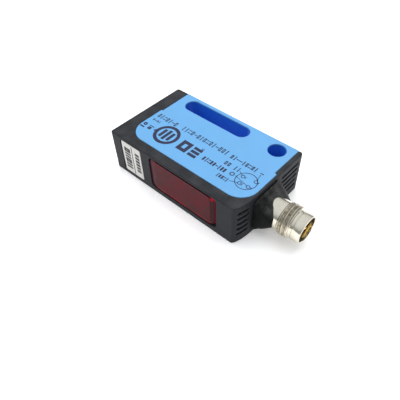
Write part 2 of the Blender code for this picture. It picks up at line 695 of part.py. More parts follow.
def make_lens(name, x):
    """A plano-convex lens whose crown faces its diode."""
    front = CARRIER_FRONT + SEAT_GAP + POLARISER_THICKNESS + SEAT_GAP
    radius = LENS_DIAMETER / 2
    sphere_radius = (radius ** 2 + LENS_CROWN ** 2) / (2 * LENS_CROWN)
    opening_angle = math.asin(radius / sphere_radius)
    profile = []
    for step in range(ARC_STEPS + 1):
        angle = opening_angle * step / ARC_STEPS
        height = LENS_EDGE + LENS_CROWN - sphere_radius * (1 - math.cos(angle))
        profile.append((sphere_radius * math.sin(angle), height))
    profile += [(radius, 0.0), (0.0, 0.0)]
    as_part(turned(name, profile, (x, front, BEAM_HEIGHT), (0, 1, 0)), CLEAR_LENS, smooth=True)


def make_emitter_led():
    """A domed diode: profile from the dome's tip down to the board."""
    radius = EMITTER_DIAMETER / 2
    profile = []
    for step in range(ARC_STEPS + 1):
        angle = QUARTER_TURN * step / ARC_STEPS
        profile.append((radius * math.sin(angle), EMITTER_HEIGHT - radius * (1 - math.cos(angle))))
    profile += [(radius, 0.0), (0.0, 0.0)]
    base = (EMITTER_X, OPTICS_BOARD_FRONT - COMPONENT_GAP, BEAM_HEIGHT)
    as_part(turned("emitter_led", profile, base, (0, -1, 0), MIDDLE_ROUND_STEPS), LAMP_RESIN, smooth=True)


def make_receiver_photodiode():
    half = DIODE_SIZE / 2
    back = OPTICS_BOARD_FRONT - COMPONENT_GAP
    diode = box(
        "receiver_photodiode",
        (RECEIVER_X - half, back - DIODE_HEIGHT, BEAM_HEIGHT - half),
        (RECEIVER_X + half, back, BEAM_HEIGHT + half))
    bevel(diode, DIODE_EDGE)
    as_part(diode, DIODE_RESIN)


def make_optics_board():
    board = box(
        "optics_board",
        (CARRIER_START, OPTICS_BOARD_FRONT, STANDING_LOW),
        (CARRIER_END, OPTICS_BOARD_BACK, STANDING_HIGH))
    as_part(board, BOARD_LAMINATE)


def make_receiver_shield():
    """A tin can over the receiver's circuit, open towards the optics board."""
    front = OPTICS_BOARD_BACK + COMPONENT_GAP
    half_length = SHIELD_LENGTH / 2
    half_height = SHIELD_HEIGHT / 2
    shield = box(
        "receiver_shield",
        (RECEIVER_X - half_length, front, BEAM_HEIGHT - half_height),
        (RECEIVER_X + half_length, front + SHIELD_DEPTH, BEAM_HEIGHT + half_height))
    hollow = box(
        "shield_cutter",
        (RECEIVER_X - half_length + SHIELD_WALL, front - OVERCUT, BEAM_HEIGHT - half_height + SHIELD_WALL),
        (RECEIVER_X + half_length - SHIELD_WALL, front + SHIELD_DEPTH - SHIELD_WALL,
         BEAM_HEIGHT + half_height - SHIELD_WALL))
    cut(shield, hollow)
    as_part(shield, TIN)


# ------------------------------------------------------------------------------------------------------
# Electronics
# ------------------------------------------------------------------------------------------------------

def make_main_board():
    board = box(
        "main_circuit_board",
        (BOARD_START, BOARD_FRONT, BOARD_LOW),
        (BOARD_END, BOARD_BACK, BOARD_TOP))
    as_part(board, BOARD_LAMINATE)


def make_component(name, size, start_x, start_y, finish):
    """A component on the main board, with its lowest corner over the given place."""
    start = Vector((start_x, start_y, MOUNT_LEVEL))
    component = box(name, start, start + Vector(size))
    bevel(component, COMPONENT_EDGE)
    as_part(component, finish)


def make_components():
    """Flat chips in a row behind the optics board, and the capacitor between the controls and the optics."""
    row_x = CARRIER_START
    row_y = OPTICS_BOARD_BACK + INNER_GAP
    chips = (
        ("evaluation_chip", EVALUATION_CHIP), ("voltage_regulator", VOLTAGE_REGULATOR),
        ("output_driver", OUTPUT_DRIVER))
    for name, size in chips:
        make_component(name, size, row_x, row_y, CHIP_RESIN)
        row_x += size[0] + COMPONENT_SPACE
    make_component(
        "filter_capacitor", FILTER_CAPACITOR, CONTROL_BASE_START + CONTROL_BASE_LENGTH + COMPONENT_SPACE,
        BOARD_FRONT + INNER_GAP, CAPACITOR_RESIN)


# ------------------------------------------------------------------------------------------------------
# Controls at the control end
# ------------------------------------------------------------------------------------------------------

def indicator_heights():
    half = INDICATOR_SPACING / 2
    return (("power", MID_HEIGHT - half), ("output", MID_HEIGHT + half))


def make_control_base(name, y):
    half = CONTROL_BASE_WIDTH / 2
    base = box(
        name, (CONTROL_BASE_START, y - half, MOUNT_LEVEL),
        (CONTROL_BASE_START + CONTROL_BASE_LENGTH, y + half, MID_HEIGHT + half))
    socket = cylinder(
        f"{name}_socket_cutter", CONTROL_SHAFT_RADIUS + RUNNING_GAP,
        CONTROL_SHAFT_ENGAGEMENT + RUNNING_GAP + OVERCUT,
        (CONTROL_BASE_START - OVERCUT, y, MID_HEIGHT), (1, 0, 0), MIDDLE_ROUND_STEPS)
    cut(base, socket)
    as_part(base, CONTROL_HOUSING)


def make_control_knob(name, y, pointer):
    """A knob on the X axis through its origin: head in the wall's hole, shaft in the base's socket."""
    head_length = CONTROL_WALL - CONTROL_RECESS
    shaft_end = CONTROL_BASE_START + CONTROL_SHAFT_ENGAGEMENT - CONTROL_RECESS
    profile = [
        (0.0, shaft_end), (CONTROL_SHAFT_RADIUS, shaft_end), (CONTROL_SHAFT_RADIUS, head_length),
        (CONTROL_HEAD_RADIUS, head_length), (CONTROL_HEAD_RADIUS, CONTROL_EDGE),
        (CONTROL_HEAD_RADIUS - CONTROL_EDGE, 0.0), (0.0, 0.0)]
    knob = turned(name, profile, (CONTROL_RECESS, y, MID_HEIGHT), (1, 0, 0), MIDDLE_ROUND_STEPS)
    reach = ARROW_TAIL if pointer else CONTROL_HEAD_RADIUS + OVERCUT
    slot = box(
        f"{name}_slot_cutter",
        (CONTROL_RECESS - OVERCUT, y - CONTROL_SLOT_WIDTH / 2, MID_HEIGHT - reach),
        (CONTROL_RECESS + CONTROL_SLOT_DEPTH, y + CONTROL_SLOT_WIDTH / 2, MID_HEIGHT + reach))
    cut(knob, slot)
    if pointer:
        arrow_outline = [(-ARROW_HALF_WIDTH, 0.0), (ARROW_HALF_WIDTH, 0.0), (0.0, ARROW_TIP)]
        arrow = outline_solid(
            f"{name}_arrow_cutter", arrow_outline, 2 * CONTROL_SLOT_DEPTH,
            corner_point(CONTROL_RECESS, y, MID_HEIGHT), Euler((QUARTER_TURN, 0, -QUARTER_TURN)))
        cut(knob, arrow)
    as_part(knob, CONTROL_KNOB, smooth=True)


def make_control_seal(name, y):
    centre_x = CONTROL_WALL + RUNNING_GAP + CONTROL_SEAL_SECTION
    radius = CONTROL_SHAFT_RADIUS + RUNNING_GAP + CONTROL_SEAL_SECTION
    seal = ring(name, radius, CONTROL_SEAL_SECTION, (centre_x, y, MID_HEIGHT), (1, 0, 0))
    as_part(seal, SEAL_RUBBER, True)


def make_indicators():
    """Lamps on legs, each behind a light guide that fills a hole in the control end."""
    guide_end = CONTROL_WALL + LIGHT_GUIDE_TAIL
    lamp_start = guide_end + SEAT_GAP
    lamp_end = lamp_start + INDICATOR_BODY_LENGTH
    finishes = {"power": (GREEN_GUIDE, GREEN_LAMP), "output": (YELLOW_GUIDE, YELLOW_LAMP)}
    for name, height in indicator_heights():
        guide_finish, lamp_finish = finishes[name]
        guide = cylinder(
            f"{name}_light_guide", INDICATOR_RADIUS, guide_end, (0.0, INDICATOR_Y, height), (1, 0, 0),
            SMALL_ROUND_STEPS)
        as_part(guide, guide_finish, smooth=True)
        lamp = cylinder(
            f"{name}_indicator", INDICATOR_RADIUS, INDICATOR_BODY_LENGTH, (lamp_start, INDICATOR_Y, height),
            (1, 0, 0), SMALL_ROUND_STEPS)
        leg_x = lamp_end - 2 * INDICATOR_LEG
        if name == "output":
            leg_x = lamp_end + 2 * INDICATOR_LEG
            bridge = box(
                f"{name}_leg_bridge",
                (lamp_end - INDICATOR_LEG, INDICATOR_Y - INDICATOR_LEG, height - INDICATOR_LEG),
                (leg_x + INDICATOR_LEG, INDICATOR_Y + INDICATOR_LEG, height + INDICATOR_LEG))
            join(lamp, bridge)
        leg = box(
            f"{name}_leg",
            (leg_x - INDICATOR_LEG, INDICATOR_Y - INDICATOR_LEG, MOUNT_LEVEL),
            (leg_x + INDICATOR_LEG, INDICATOR_Y + INDICATOR_LEG, height))
        join(lamp, leg)
        as_part(lamp, lamp_finish, smooth=True)


# ------------------------------------------------------------------------------------------------------
# Connector
# ------------------------------------------------------------------------------------------------------

def octagon(half_y, half_z, corner):
    """A rectangle with its corners cut by an equal amount on both sides."""
    return [
        (half_y, -half_z + corner), (half_y, half_z - corner), (half_y - corner, half_z),
        (-half_y + corner, half_z), (-half_y, half_z - corner), (-half_y, -half_z + corner),
        (-half_y + corner, -half_z), (half_y - corner, -half_z)]


def loft_along_x(name, sections):
    """A solid skinned over sections (x, outline) that all have the same number of points."""
    shape = bmesh.new()
    loops = []
    for x, outline in sections:
        loops.append([shape.verts.new((x, y, z)) for y, z in outline])
    for lower, upper in zip(loops, loops[1:]):
        for index in range(len(lower)):
            following = (index + 1) % len(lower)
            shape.faces.new((lower[index], lower[following], upper[following], upper[index]))
    shape.faces.new(reversed(loops[0]))
    shape.faces.new(loops[-1])
    bmesh.ops.recalc_face_normals(shape, faces=shape.faces)
    return object_from_bmesh(name, shape, corner_point(BODY_LENGTH, PLUG_Y, MID_HEIGHT))


def make_connector_boot():
    """A block on the connector end, with two cheeks that run on beside the plug's collar."""
    half_y = BOOT_WIDTH / 2
    half_z = BOOT_HEIGHT / 2
    tip_half = PLUG_COLLAR_RADIUS + SEAM + BOOT_RIM
    boot = loft_along_x("connector_boot", (
        (SEAM, octagon(half_y, half_z, BOOT_EDGE)),
        (BOOT_FOOT, octagon(half_y, half_z, BOOT_EDGE)),
        (BOOT_SHOULDER,
         octagon(half_y - BOOT_SHOULDER_INSET, half_z - BOOT_SHOULDER_DROP, BOOT_SHOULDER_DROP)),
        (BOOT_NOTCH, octagon(half_y - BOOT_NOTCH_INSET, BOOT_NOTCH_HEIGHT, BOOT_NOTCH_CORNER)),
        (BOOT_REACH, octagon(tip_half, BOOT_TIP_HEIGHT, BOOT_TIP_CORNER))))
    spigot_half = BOOT_SPIGOT / 2
    spigot = box(
        "boot_spigot",
        (CHAMBER_END - SPIGOT_TAIL, PLUG_Y - spigot_half, MID_HEIGHT - spigot_half),
        (BODY_LENGTH + BOOT_FOOT, PLUG_Y + spigot_half, MID_HEIGHT + spigot_half))
    join(boot, spigot)
    tail_bore = cylinder(
        "boot_tail_cutter", PLUG_TAIL_RADIUS + SEAM, BODY_LENGTH,
        (CHAMBER_END - OVERCUT, PLUG_Y, MID_HEIGHT),
        (1, 0, 0))
    collar_bore = cylinder(
        "boot_collar_cutter", PLUG_COLLAR_RADIUS + SEAM, BOOT_REACH,
        (BODY_LENGTH + PLUG_COLLAR_START - SEAM, PLUG_Y, MID_HEIGHT), (1, 0, 0))
    cut(boot, tail_bore, collar_bore)
    as_part(boot, BLACK_PLASTIC)


def thread_profile():
    """Crests of the thread, from its far end back towards the boot, as (radius, distance) pairs."""
    profile = []
    for turn in reversed(range(THREAD_TURNS)):
        middle = THREAD_START + (turn + 0.5) * THREAD_PITCH
        profile += [
            (THREAD_ROOT_RADIUS, middle + THREAD_FOOT / 2), (THREAD_RADIUS, middle + THREAD_CREST / 2),
            (THREAD_RADIUS, middle - THREAD_CREST / 2), (THREAD_ROOT_RADIUS, middle - THREAD_FOOT / 2)]
    return profile


def make_connector_shell():
    """The turned metal body of the plug, a tube all the way through."""
    tip = CONNECTOR_REACH
    ridge_end = PLUG_RIDGE_START + PLUG_RIDGE_LENGTH
    ridge_radius = THREAD_RADIUS - PLUG_EDGE / 2
    bore_floor = PLUG_BORE_START - INSERT_HEAD_LENGTH - SEAM
    profile = [
        (PLUG_BORE_RADIUS, tip), (PLUG_SLEEVE_RADIUS - PLUG_EDGE, tip),
        (PLUG_SLEEVE_RADIUS, tip - PLUG_EDGE),
        (PLUG_SLEEVE_RADIUS, PLUG_SLEEVE_START), (PLUG_NECK_RADIUS, PLUG_SLEEVE_START - PLUG_EDGE / 2)]
    profile += thread_profile()
    profile += [
        (THREAD_ROOT_RADIUS, ridge_end), (ridge_radius, ridge_end - PLUG_EDGE / 2),
        (ridge_radius, PLUG_RIDGE_START + PLUG_EDGE / 2), (PLUG_COLLAR_RADIUS, PLUG_RIDGE_START),
        (PLUG_COLLAR_RADIUS, PLUG_COLLAR_START), (PLUG_TAIL_RADIUS, PLUG_COLLAR_START),
        (PLUG_TAIL_RADIUS, PLUG_TAIL_START), (INSERT_TAIL_RADIUS + SEAM, PLUG_TAIL_START),
        (INSERT_TAIL_RADIUS + SEAM, bore_floor), (PLUG_BORE_RADIUS, bore_floor)]
    shell = turned("connector_shell", profile, (BODY_LENGTH, PLUG_Y, MID_HEIGHT), (1, 0, 0), SHELL_STEPS)
    as_part(shell, NICKEL, smooth=True)


def pin_places():
    """Pins stand on a circle, an eighth of a turn off the axes."""
    places = []
    for number in range(PIN_COUNT):
        angle = EIGHTH_TURN + number * QUARTER_TURN
        places.append((PIN_CIRCLE * math.cos(angle), PIN_CIRCLE * math.sin(angle)))
    return places


def make_connector_insert():
    head_radius = PLUG_BORE_RADIUS - SEAM
    shoulder = PLUG_BORE_START - INSERT_HEAD_LENGTH
    profile = [
        (0.0, PLUG_BORE_START), (head_radius, PLUG_BORE_START), (head_radius, shoulder),
        (INSERT_TAIL_RADIUS, shoulder), (INSERT_TAIL_RADIUS, PLUG_TAIL_START), (0.0, PLUG_TAIL_START)]
    insert = turned("connector_insert", profile, (BODY_LENGTH, PLUG_Y, MID_HEIGHT), (1, 0, 0))
    length = PLUG_BORE_START - PLUG_TAIL_START + 2 * OVERCUT
    for number, (y, z) in enumerate(pin_places(), 1):
        cut(insert, cylinder(
            f"pin_hole_cutter_{number}", PIN_RADIUS + COMPONENT_GAP, length,
            (BODY_LENGTH + PLUG_TAIL_START - OVERCUT, PLUG_Y + y, MID_HEIGHT + z), (1, 0, 0),
            SMALL_ROUND_STEPS))
    as_part(insert, INSERT_PLASTIC)


def make_contact_pins():
    start = PLUG_TAIL_START - PIN_TAIL
    tip = CONNECTOR_REACH - PIN_RECESS - start
    profile = [(0.0, tip)]
    for step in range(1, DOME_STEPS + 1):
        angle = QUARTER_TURN * step / DOME_STEPS
        profile.append((PIN_RADIUS * math.sin(angle), tip - PIN_RADIUS * (1 - math.cos(angle))))
    profile += [(PIN_RADIUS, 0.0), (0.0, 0.0)]
    for number, (y, z) in enumerate(pin_places(), 1):
        pin = turned(
            f"contact_pin_{number}", profile, (BODY_LENGTH + start, PLUG_Y + y, MID_HEIGHT + z), (1, 0, 0),
            SMALL_ROUND_STEPS)
        as_part(pin, GOLD, smooth=True)


def make_lead_wires():
    """Each wire leaves its pin straight and bends down to the main board in a quarter of an ellipse."""
    finishes = (BROWN_WIRE, WHITE_WIRE, BLUE_WIRE, BLACK_WIRE)
    start_x = BODY_LENGTH + PLUG_TAIL_START - PIN_TAIL - WIRE_GAP
    for number, (y, z) in enumerate(pin_places(), 1):
        drop = MID_HEIGHT + z - MOUNT_LEVEL - WIRE_GAP
        run = LOWER_WIRE_RUN if z < 0 else UPPER_WIRE_RUN
        route = [(0.0, 0.0)]
        for step in range(ARC_STEPS + 1):
            angle = QUARTER_TURN * step / ARC_STEPS
            route.append((-WIRE_STUB - run * math.sin(angle), -drop * (1 - math.cos(angle))))
        curve_data = bpy.data.curves.new(f"lead_wire_{number}", "CURVE")
        curve_data.dimensions = "3D"
        curve_data.bevel_depth = WIRE_RADIUS
        curve_data.bevel_resolution = WIRE_STEPS
        curve_data.use_fill_caps = True
        spline = curve_data.splines.new("POLY")
        spline.points.add(len(route) - 1)
        for point, (x, height) in zip(spline.points, route):
            point.co = (x, 0.0, height, 1.0)
        place = corner_point(start_x, PLUG_Y + y, MID_HEIGHT + z)
        wire = curve_to_mesh_object(f"lead_wire_{number}", curve_data, place, (0, 0, 0))
        as_part(wire, finishes[number - 1], smooth=True)


# ------------------------------------------------------------------------------------------------------
# The sensor
# ------------------------------------------------------------------------------------------------------

make_front_frame()
make_mounting_housing()
make_front_window()
make_window_gasket()
make_front_sticker()

make_optics_carrier()
make_polariser("emitter_polariser", EMITTER_X)
make_polariser("receiver_polariser", RECEIVER_X)
make_lens("emitter_lens", EMITTER_X)
make_lens("receiver_lens", RECEIVER_X)
make_emitter_led()
make_receiver_photodiode()
make_optics_board()
make_receiver_shield()

make_main_board()
make_components()

make_control_base("adjuster_base", ADJUSTER_Y)
make_control_base("selector_base", SELECTOR_Y)
make_control_knob("sensitivity_adjuster", ADJUSTER_Y, pointer=False)
make_control_knob("mode_selector", SELECTOR_Y, pointer=True)
make_control_seal("adjuster_seal", ADJUSTER_Y)
make_control_seal("selector_seal", SELECTOR_Y)
make_indicators()

make_connector_boot()
make_connector_shell()
make_connector_insert()
make_contact_pins()
make_lead_wires()
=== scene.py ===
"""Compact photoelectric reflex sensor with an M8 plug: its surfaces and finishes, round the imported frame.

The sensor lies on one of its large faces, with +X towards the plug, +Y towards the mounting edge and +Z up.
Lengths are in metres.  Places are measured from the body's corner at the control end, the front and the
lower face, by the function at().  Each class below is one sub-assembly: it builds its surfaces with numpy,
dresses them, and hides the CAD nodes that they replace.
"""

import logging
import math
from dataclasses import dataclass
from enum import Enum
from functools import lru_cache
from typing import Iterable, Optional, Sequence

import bmesh
import bpy
import numpy as np
from mathutils import Matrix, Vector


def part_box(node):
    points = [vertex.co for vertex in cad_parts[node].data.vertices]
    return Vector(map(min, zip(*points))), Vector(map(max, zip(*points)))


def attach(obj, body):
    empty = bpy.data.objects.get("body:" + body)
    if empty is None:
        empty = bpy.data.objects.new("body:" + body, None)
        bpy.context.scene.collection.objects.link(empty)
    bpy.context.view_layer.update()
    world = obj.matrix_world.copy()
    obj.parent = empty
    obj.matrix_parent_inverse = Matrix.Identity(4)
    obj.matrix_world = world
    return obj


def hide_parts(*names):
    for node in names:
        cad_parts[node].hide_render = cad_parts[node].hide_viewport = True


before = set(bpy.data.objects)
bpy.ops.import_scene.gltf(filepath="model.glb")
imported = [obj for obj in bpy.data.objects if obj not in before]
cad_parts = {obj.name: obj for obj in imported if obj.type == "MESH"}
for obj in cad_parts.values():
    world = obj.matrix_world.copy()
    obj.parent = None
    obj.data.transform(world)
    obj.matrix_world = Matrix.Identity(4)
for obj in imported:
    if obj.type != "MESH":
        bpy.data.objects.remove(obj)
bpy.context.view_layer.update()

CORNER = np.array(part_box("front_frame")[0])
LENGTH, WIDTH, THICKNESS = np.array(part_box("front_frame")[1]) - CORNER
MIDDLE = THICKNESS / 2
FIXED_BODY = "sensor_body"
OVERCUT = 0.001
LOG = logging.getLogger("sensor")

Array = np.ndarray


class Axis(Enum):
    """The direction that a prism stands in, as the columns that its local (u, v, height) go to."""

    X = (1, 2, 0)
    Y = (0, 2, 1)
    Z = (0, 1, 2)


def at(x: float, y: float, z: float) -> Array:
    """A point measured from the body's corner."""
    return CORNER + np.array((x, y, z))


def extent(node: str) -> tuple:
    """Lowest and highest corner of a CAD node, measured from the body's corner."""
    low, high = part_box(node)
    return np.array(low) - CORNER, np.array(high) - CORNER


def round_extent(node: str) -> tuple:
    """Start, end, (y, z) centre and radius of a CAD node that is round about a line along X."""
    low, high = extent(node)
    return low[0], high[0], (low + high)[1:] / 2, (high[2] - low[2]) / 2


def linked(name: str, data: bpy.types.ID) -> bpy.types.Object:
    """A new object of a mesh, light or camera, linked to the scene."""
    made = bpy.data.objects.new(name, data)
    bpy.context.scene.collection.objects.link(made)
    return made


# --- Outlines --------------------------------------------------------------

def arc(centre: Sequence[float], radii: Sequence[float], start: float, end: float, steps: int = 10) -> Array:
    """Points along part of an ellipse.

    Args:
        centre: the ellipse's centre.
        radii: its two half axes.
        start: first angle in degrees.
        end: last angle in degrees.
        steps: number of equal steps between them.

    Returns:
        An array of steps + 1 points: centre + (a cos t, b sin t).
    """
    angle = np.radians(np.linspace(start, end, steps + 1))
    return np.stack([centre[0] + radii[0] * np.cos(angle), centre[1] + radii[1] * np.sin(angle)], axis=1)


def rounded_rectangle(low: Sequence[float], high: Sequence[float], radius: float, steps: int = 6) -> Array:
    """A rectangle with round corners, anticlockwise from the upper right.

    Args:
        low: lowest corner.
        high: highest corner.
        radius: radius of the corners.
        steps: steps in each corner.

    Returns:
        The outline's points: four quarter circles joined by straight sides.
    """
    pair = (radius, radius)
    return np.concatenate([
        arc((high[0] - radius, high[1] - radius), pair, 0, 90, steps),
        arc((low[0] + radius, high[1] - radius), pair, 90, 180, steps),
        arc((low[0] + radius, low[1] + radius), pair, 180, 270, steps),
        arc((high[0] - radius, low[1] + radius), pair, 270, 360, steps)])


def stadium(centre: Sequence[float], length: float, width: float, steps: int = 16) -> Array:
    """A slot's outline, along the first direction: two half circles joined by straight sides.

    Args:
        centre: the slot's centre.
        length: its length over the round ends.
        width: its width.
        steps: steps in each half circle.

    Returns:
        The outline's points, anticlockwise.
    """
    radius = width / 2
    reach = length / 2 - radius
    return np.concatenate([
        arc((centre[0] + reach, centre[1]), (radius, radius), -90, 90, steps),
        arc((centre[0] - reach, centre[1]), (radius, radius), 90, 270, steps)])


def circle(centre: Sequence[float], radius: float, steps: int = 64) -> Array:
    """A circle of equal steps, without a repeated last point."""
    return arc(centre, (radius, radius), 0, 360, steps)[:-1]


def inset(outline: Array, distance: float) -> Array:
    """An anticlockwise outline moved inwards.

    Each point moves along the mitre of its two sides: the sum of their outward normals, divided by one plus
    their dot product.

    Args:
        outline: the points.
        distance: how far its sides move inwards.

    Returns:
        As many points.
    """
    side = np.roll(outline, -1, axis=0) - outline
    side /= np.linalg.norm(side, axis=1, keepdims=True)
    after = np.stack([side[:, 1], -side[:, 0]], axis=1)
    before = np.roll(after, 1, axis=0)
    mitre = (before + after) / (1 + (before * after).sum(axis=1, keepdims=True))
    return outline - distance * mitre


# --- Meshes ----------------------------------------------------------------

def outward(mesh: bpy.types.Mesh) -> None:
    """Turns a closed mesh's faces outwards if its signed volume is negative."""
    shape = bmesh.new()
    shape.from_mesh(mesh)
    bmesh.ops.remove_doubles(shape, verts=shape.verts, dist=1e-7)
    if shape.calc_volume(signed=True) < 0:
        bmesh.ops.reverse_faces(shape, faces=shape.faces)
    shape.to_mesh(mesh)
    shape.free()


def solid(name: str, points: Array, faces: Iterable[Sequence[int]]) -> bpy.types.Object:
    """A closed mesh object from points in metres and faces by index."""
    mesh = bpy.data.meshes.new(name)
    mesh.from_pydata(points.reshape(-1, 3).tolist(), [], list(faces))
    mesh.validate()
    outward(mesh)
    return linked(name, mesh)


def grid_faces(rows: int, columns: int, closed_rows: bool = False) -> list:
    """Quads of a grid whose columns close on themselves.

    Args:
        rows: number of loops.
        columns: points in each loop.
        closed_rows: whether the last loop joins the first.

    Returns:
        The faces as lists of four indices.
    """
    row = np.arange(rows if closed_rows else rows - 1)[:, None]
    column = np.arange(columns)[None, :]
    following_row = (row + 1) % rows
    following_column = (column + 1) % columns
    corners = (row * columns + column, row * columns + following_column,
               following_row * columns + following_column, following_row * columns + column)
    full = [np.broadcast_to(corner, (len(row), columns)) for corner in corners]
    return np.stack(full, axis=-1).reshape(-1, 4).tolist()


def lofted(name: str, loops: Array) -> bpy.types.Object:
    """A solid skinned over loops of equal length, closed by a flat face at each end.

    Args:
        name: the object's name.
        loops: an array of loops, points and coordinates.

    Returns:
        The object.
    """
    rows, columns = loops.shape[:2]
    faces = grid_faces(rows, columns)
    faces.append(list(range(columns - 1, -1, -1)))
    faces.append(list(range((rows - 1) * columns, rows * columns)))
    return solid(name, loops, faces)


def stacked(outlines: Sequence[Array], heights: Sequence[float], axis: Axis) -> Array:
    """Loops for lofted(): each outline, from the body's corner, at its height along an axis."""
    local = np.stack([np.column_stack([line, np.full(len(line), height)])
                      for line, height in zip(outlines, heights)])
    loops = np.empty_like(local)
    loops[..., list(axis.value)] = local
    return loops + CORNER


def prism(name: str, outline: Array, low: float, high: float, axis: Axis = Axis.Z, edge: float = 0.0,
          steps: int = 4) -> bpy.types.Object:
    """An upright solid over an outline, with its two rims rounded by quarter circles.

    The outline is drawn in by edge (1 - sin t) at a height of edge (1 - cos t) above the lower face, and the
    same below the upper face.

    Args:
        name: the object's name.
        outline: anticlockwise points, measured from the body's corner.
        low: lower face, measured from the body's corner.
        high: upper face.
        axis: the direction that it stands in.
        edge: radius of the rims, or 0 for sharp rims.
        steps: steps in each rim's quarter circle.

    Returns:
        The object.
    """
    if edge <= 0:
        return lofted(name, stacked([outline, outline], [low, high], axis))
    turn = np.linspace(0, np.pi / 2, steps + 1)
    drawn_in = edge * (1 - np.sin(turn))
    rise = edge * (1 - np.cos(turn))
    outlines = [inset(outline, distance) for distance in np.concatenate([drawn_in, drawn_in[::-1]])]
    return lofted(name, stacked(outlines, np.concatenate([low + rise, (high - rise)[::-1]]), axis))


def block(name: str, low: Sequence[float], high: Sequence[float]) -> bpy.types.Object:
    """A sharp box for cutting, between two corners measured from the body's corner."""
    outline = np.array([(high[0], high[1]), (low[0], high[1]), (low[0], low[1]), (high[0], low[1])])
    return prism(name, outline, low[2], high[2])


def rod(name: str, centre: Sequence[float], radius: float, start: float, end: float,
        steps: int = 64) -> bpy.types.Object:
    """A cylinder along X, for cutting.

    Args:
        name: the object's name.
        centre: the axis's (y, z), measured from the body's corner.
        radius: its radius.
        start: its first end, measured from the body's corner.
        end: its other end.
        steps: steps in the turn.

    Returns:
        The object.
    """
    return prism(name, circle(centre, radius, steps), start, end, Axis.X)


def turned(name: str, profile: Array, centre: Sequence[float], steps: int = 96,
           radius_over_turn: Optional[Array] = None, loop: bool = False) -> bpy.types.Object:
    """A solid turned about a line along X.

    A point of the profile goes to (x, y0 + r cos t, z0 + r sin t) for t over a full turn.

    Args:
        name: the object's name.
        profile: rows of (x, r), measured from the body's corner and from the axis.
        centre: the axis's (y, z), measured from the body's corner.
        steps: steps in the turn.
        radius_over_turn: radii for each row and step, where they change round the turn.
        loop: whether the profile closes on itself, as a tube's does; otherwise it ends on the axis.

    Returns:
        The object.
    """
    angle = np.linspace(0, 2 * np.pi, steps, endpoint=False)
    radius = profile[:, 1:2] if radius_over_turn is None else radius_over_turn
    x = np.broadcast_to(profile[:, 0:1], (len(profile), steps))
    points = np.stack([x, centre[0] + radius * np.cos(angle), centre[1] + radius * np.sin(angle)], axis=-1)
    return solid(name, points + CORNER, grid_faces(len(profile), steps, loop))


def settle(piece: bpy.types.Object) -> None:
    """Replaces an object's mesh by what its modifiers make of it."""
    bpy.context.view_layer.update()
    evaluated = piece.evaluated_get(bpy.context.evaluated_depsgraph_get())
    mesh = bpy.data.meshes.new_from_object(evaluated)
    piece.modifiers.clear()
    piece.data = mesh


def carve(piece: bpy.types.Object, *tools: bpy.types.Object, operation: str = "DIFFERENCE") -> None:
    """Cuts tools out of a piece, or joins them to it, and removes the tools."""
    for tool in tools:
        modifier = piece.modifiers.new("carve", "BOOLEAN")
        modifier.operation = operation
        modifier.solver = "EXACT"
        modifier.object = tool
    settle(piece)
    for tool in tools:
        bpy.data.objects.remove(tool, do_unlink=True)


def ease_edges(piece: bpy.types.Object, width: float, segments: int = 2, angle: float = 50.0) -> None:
    """Rounds a piece's sharp edges.

    Args:
        piece: the object.
        width: how far the rounding reaches on each side of an edge.
        segments: facets across it.
        angle: least angle in degrees between the two faces of an edge that is rounded.
    """
    modifier = piece.modifiers.new("ease", "BEVEL")
    modifier.width = width
    modifier.segments = segments
    modifier.limit_method = "ANGLE"
    modifier.angle_limit = math.radians(angle)
    modifier.use_clamp_overlap = True
    settle(piece)


def polish(piece: bpy.types.Object, angle: float = 50.0) -> None:
    """Shades a piece smooth, with normals weighted by face area and edges above an angle kept sharp."""
    piece.data.shade_smooth()
    piece.data.set_sharp_from_angle(angle=math.radians(angle))
    modifier = piece.modifiers.new("weigh", "WEIGHTED_NORMAL")
    modifier.keep_sharp = True
    settle(piece)


# --- Shader groups ---------------------------------------------------------

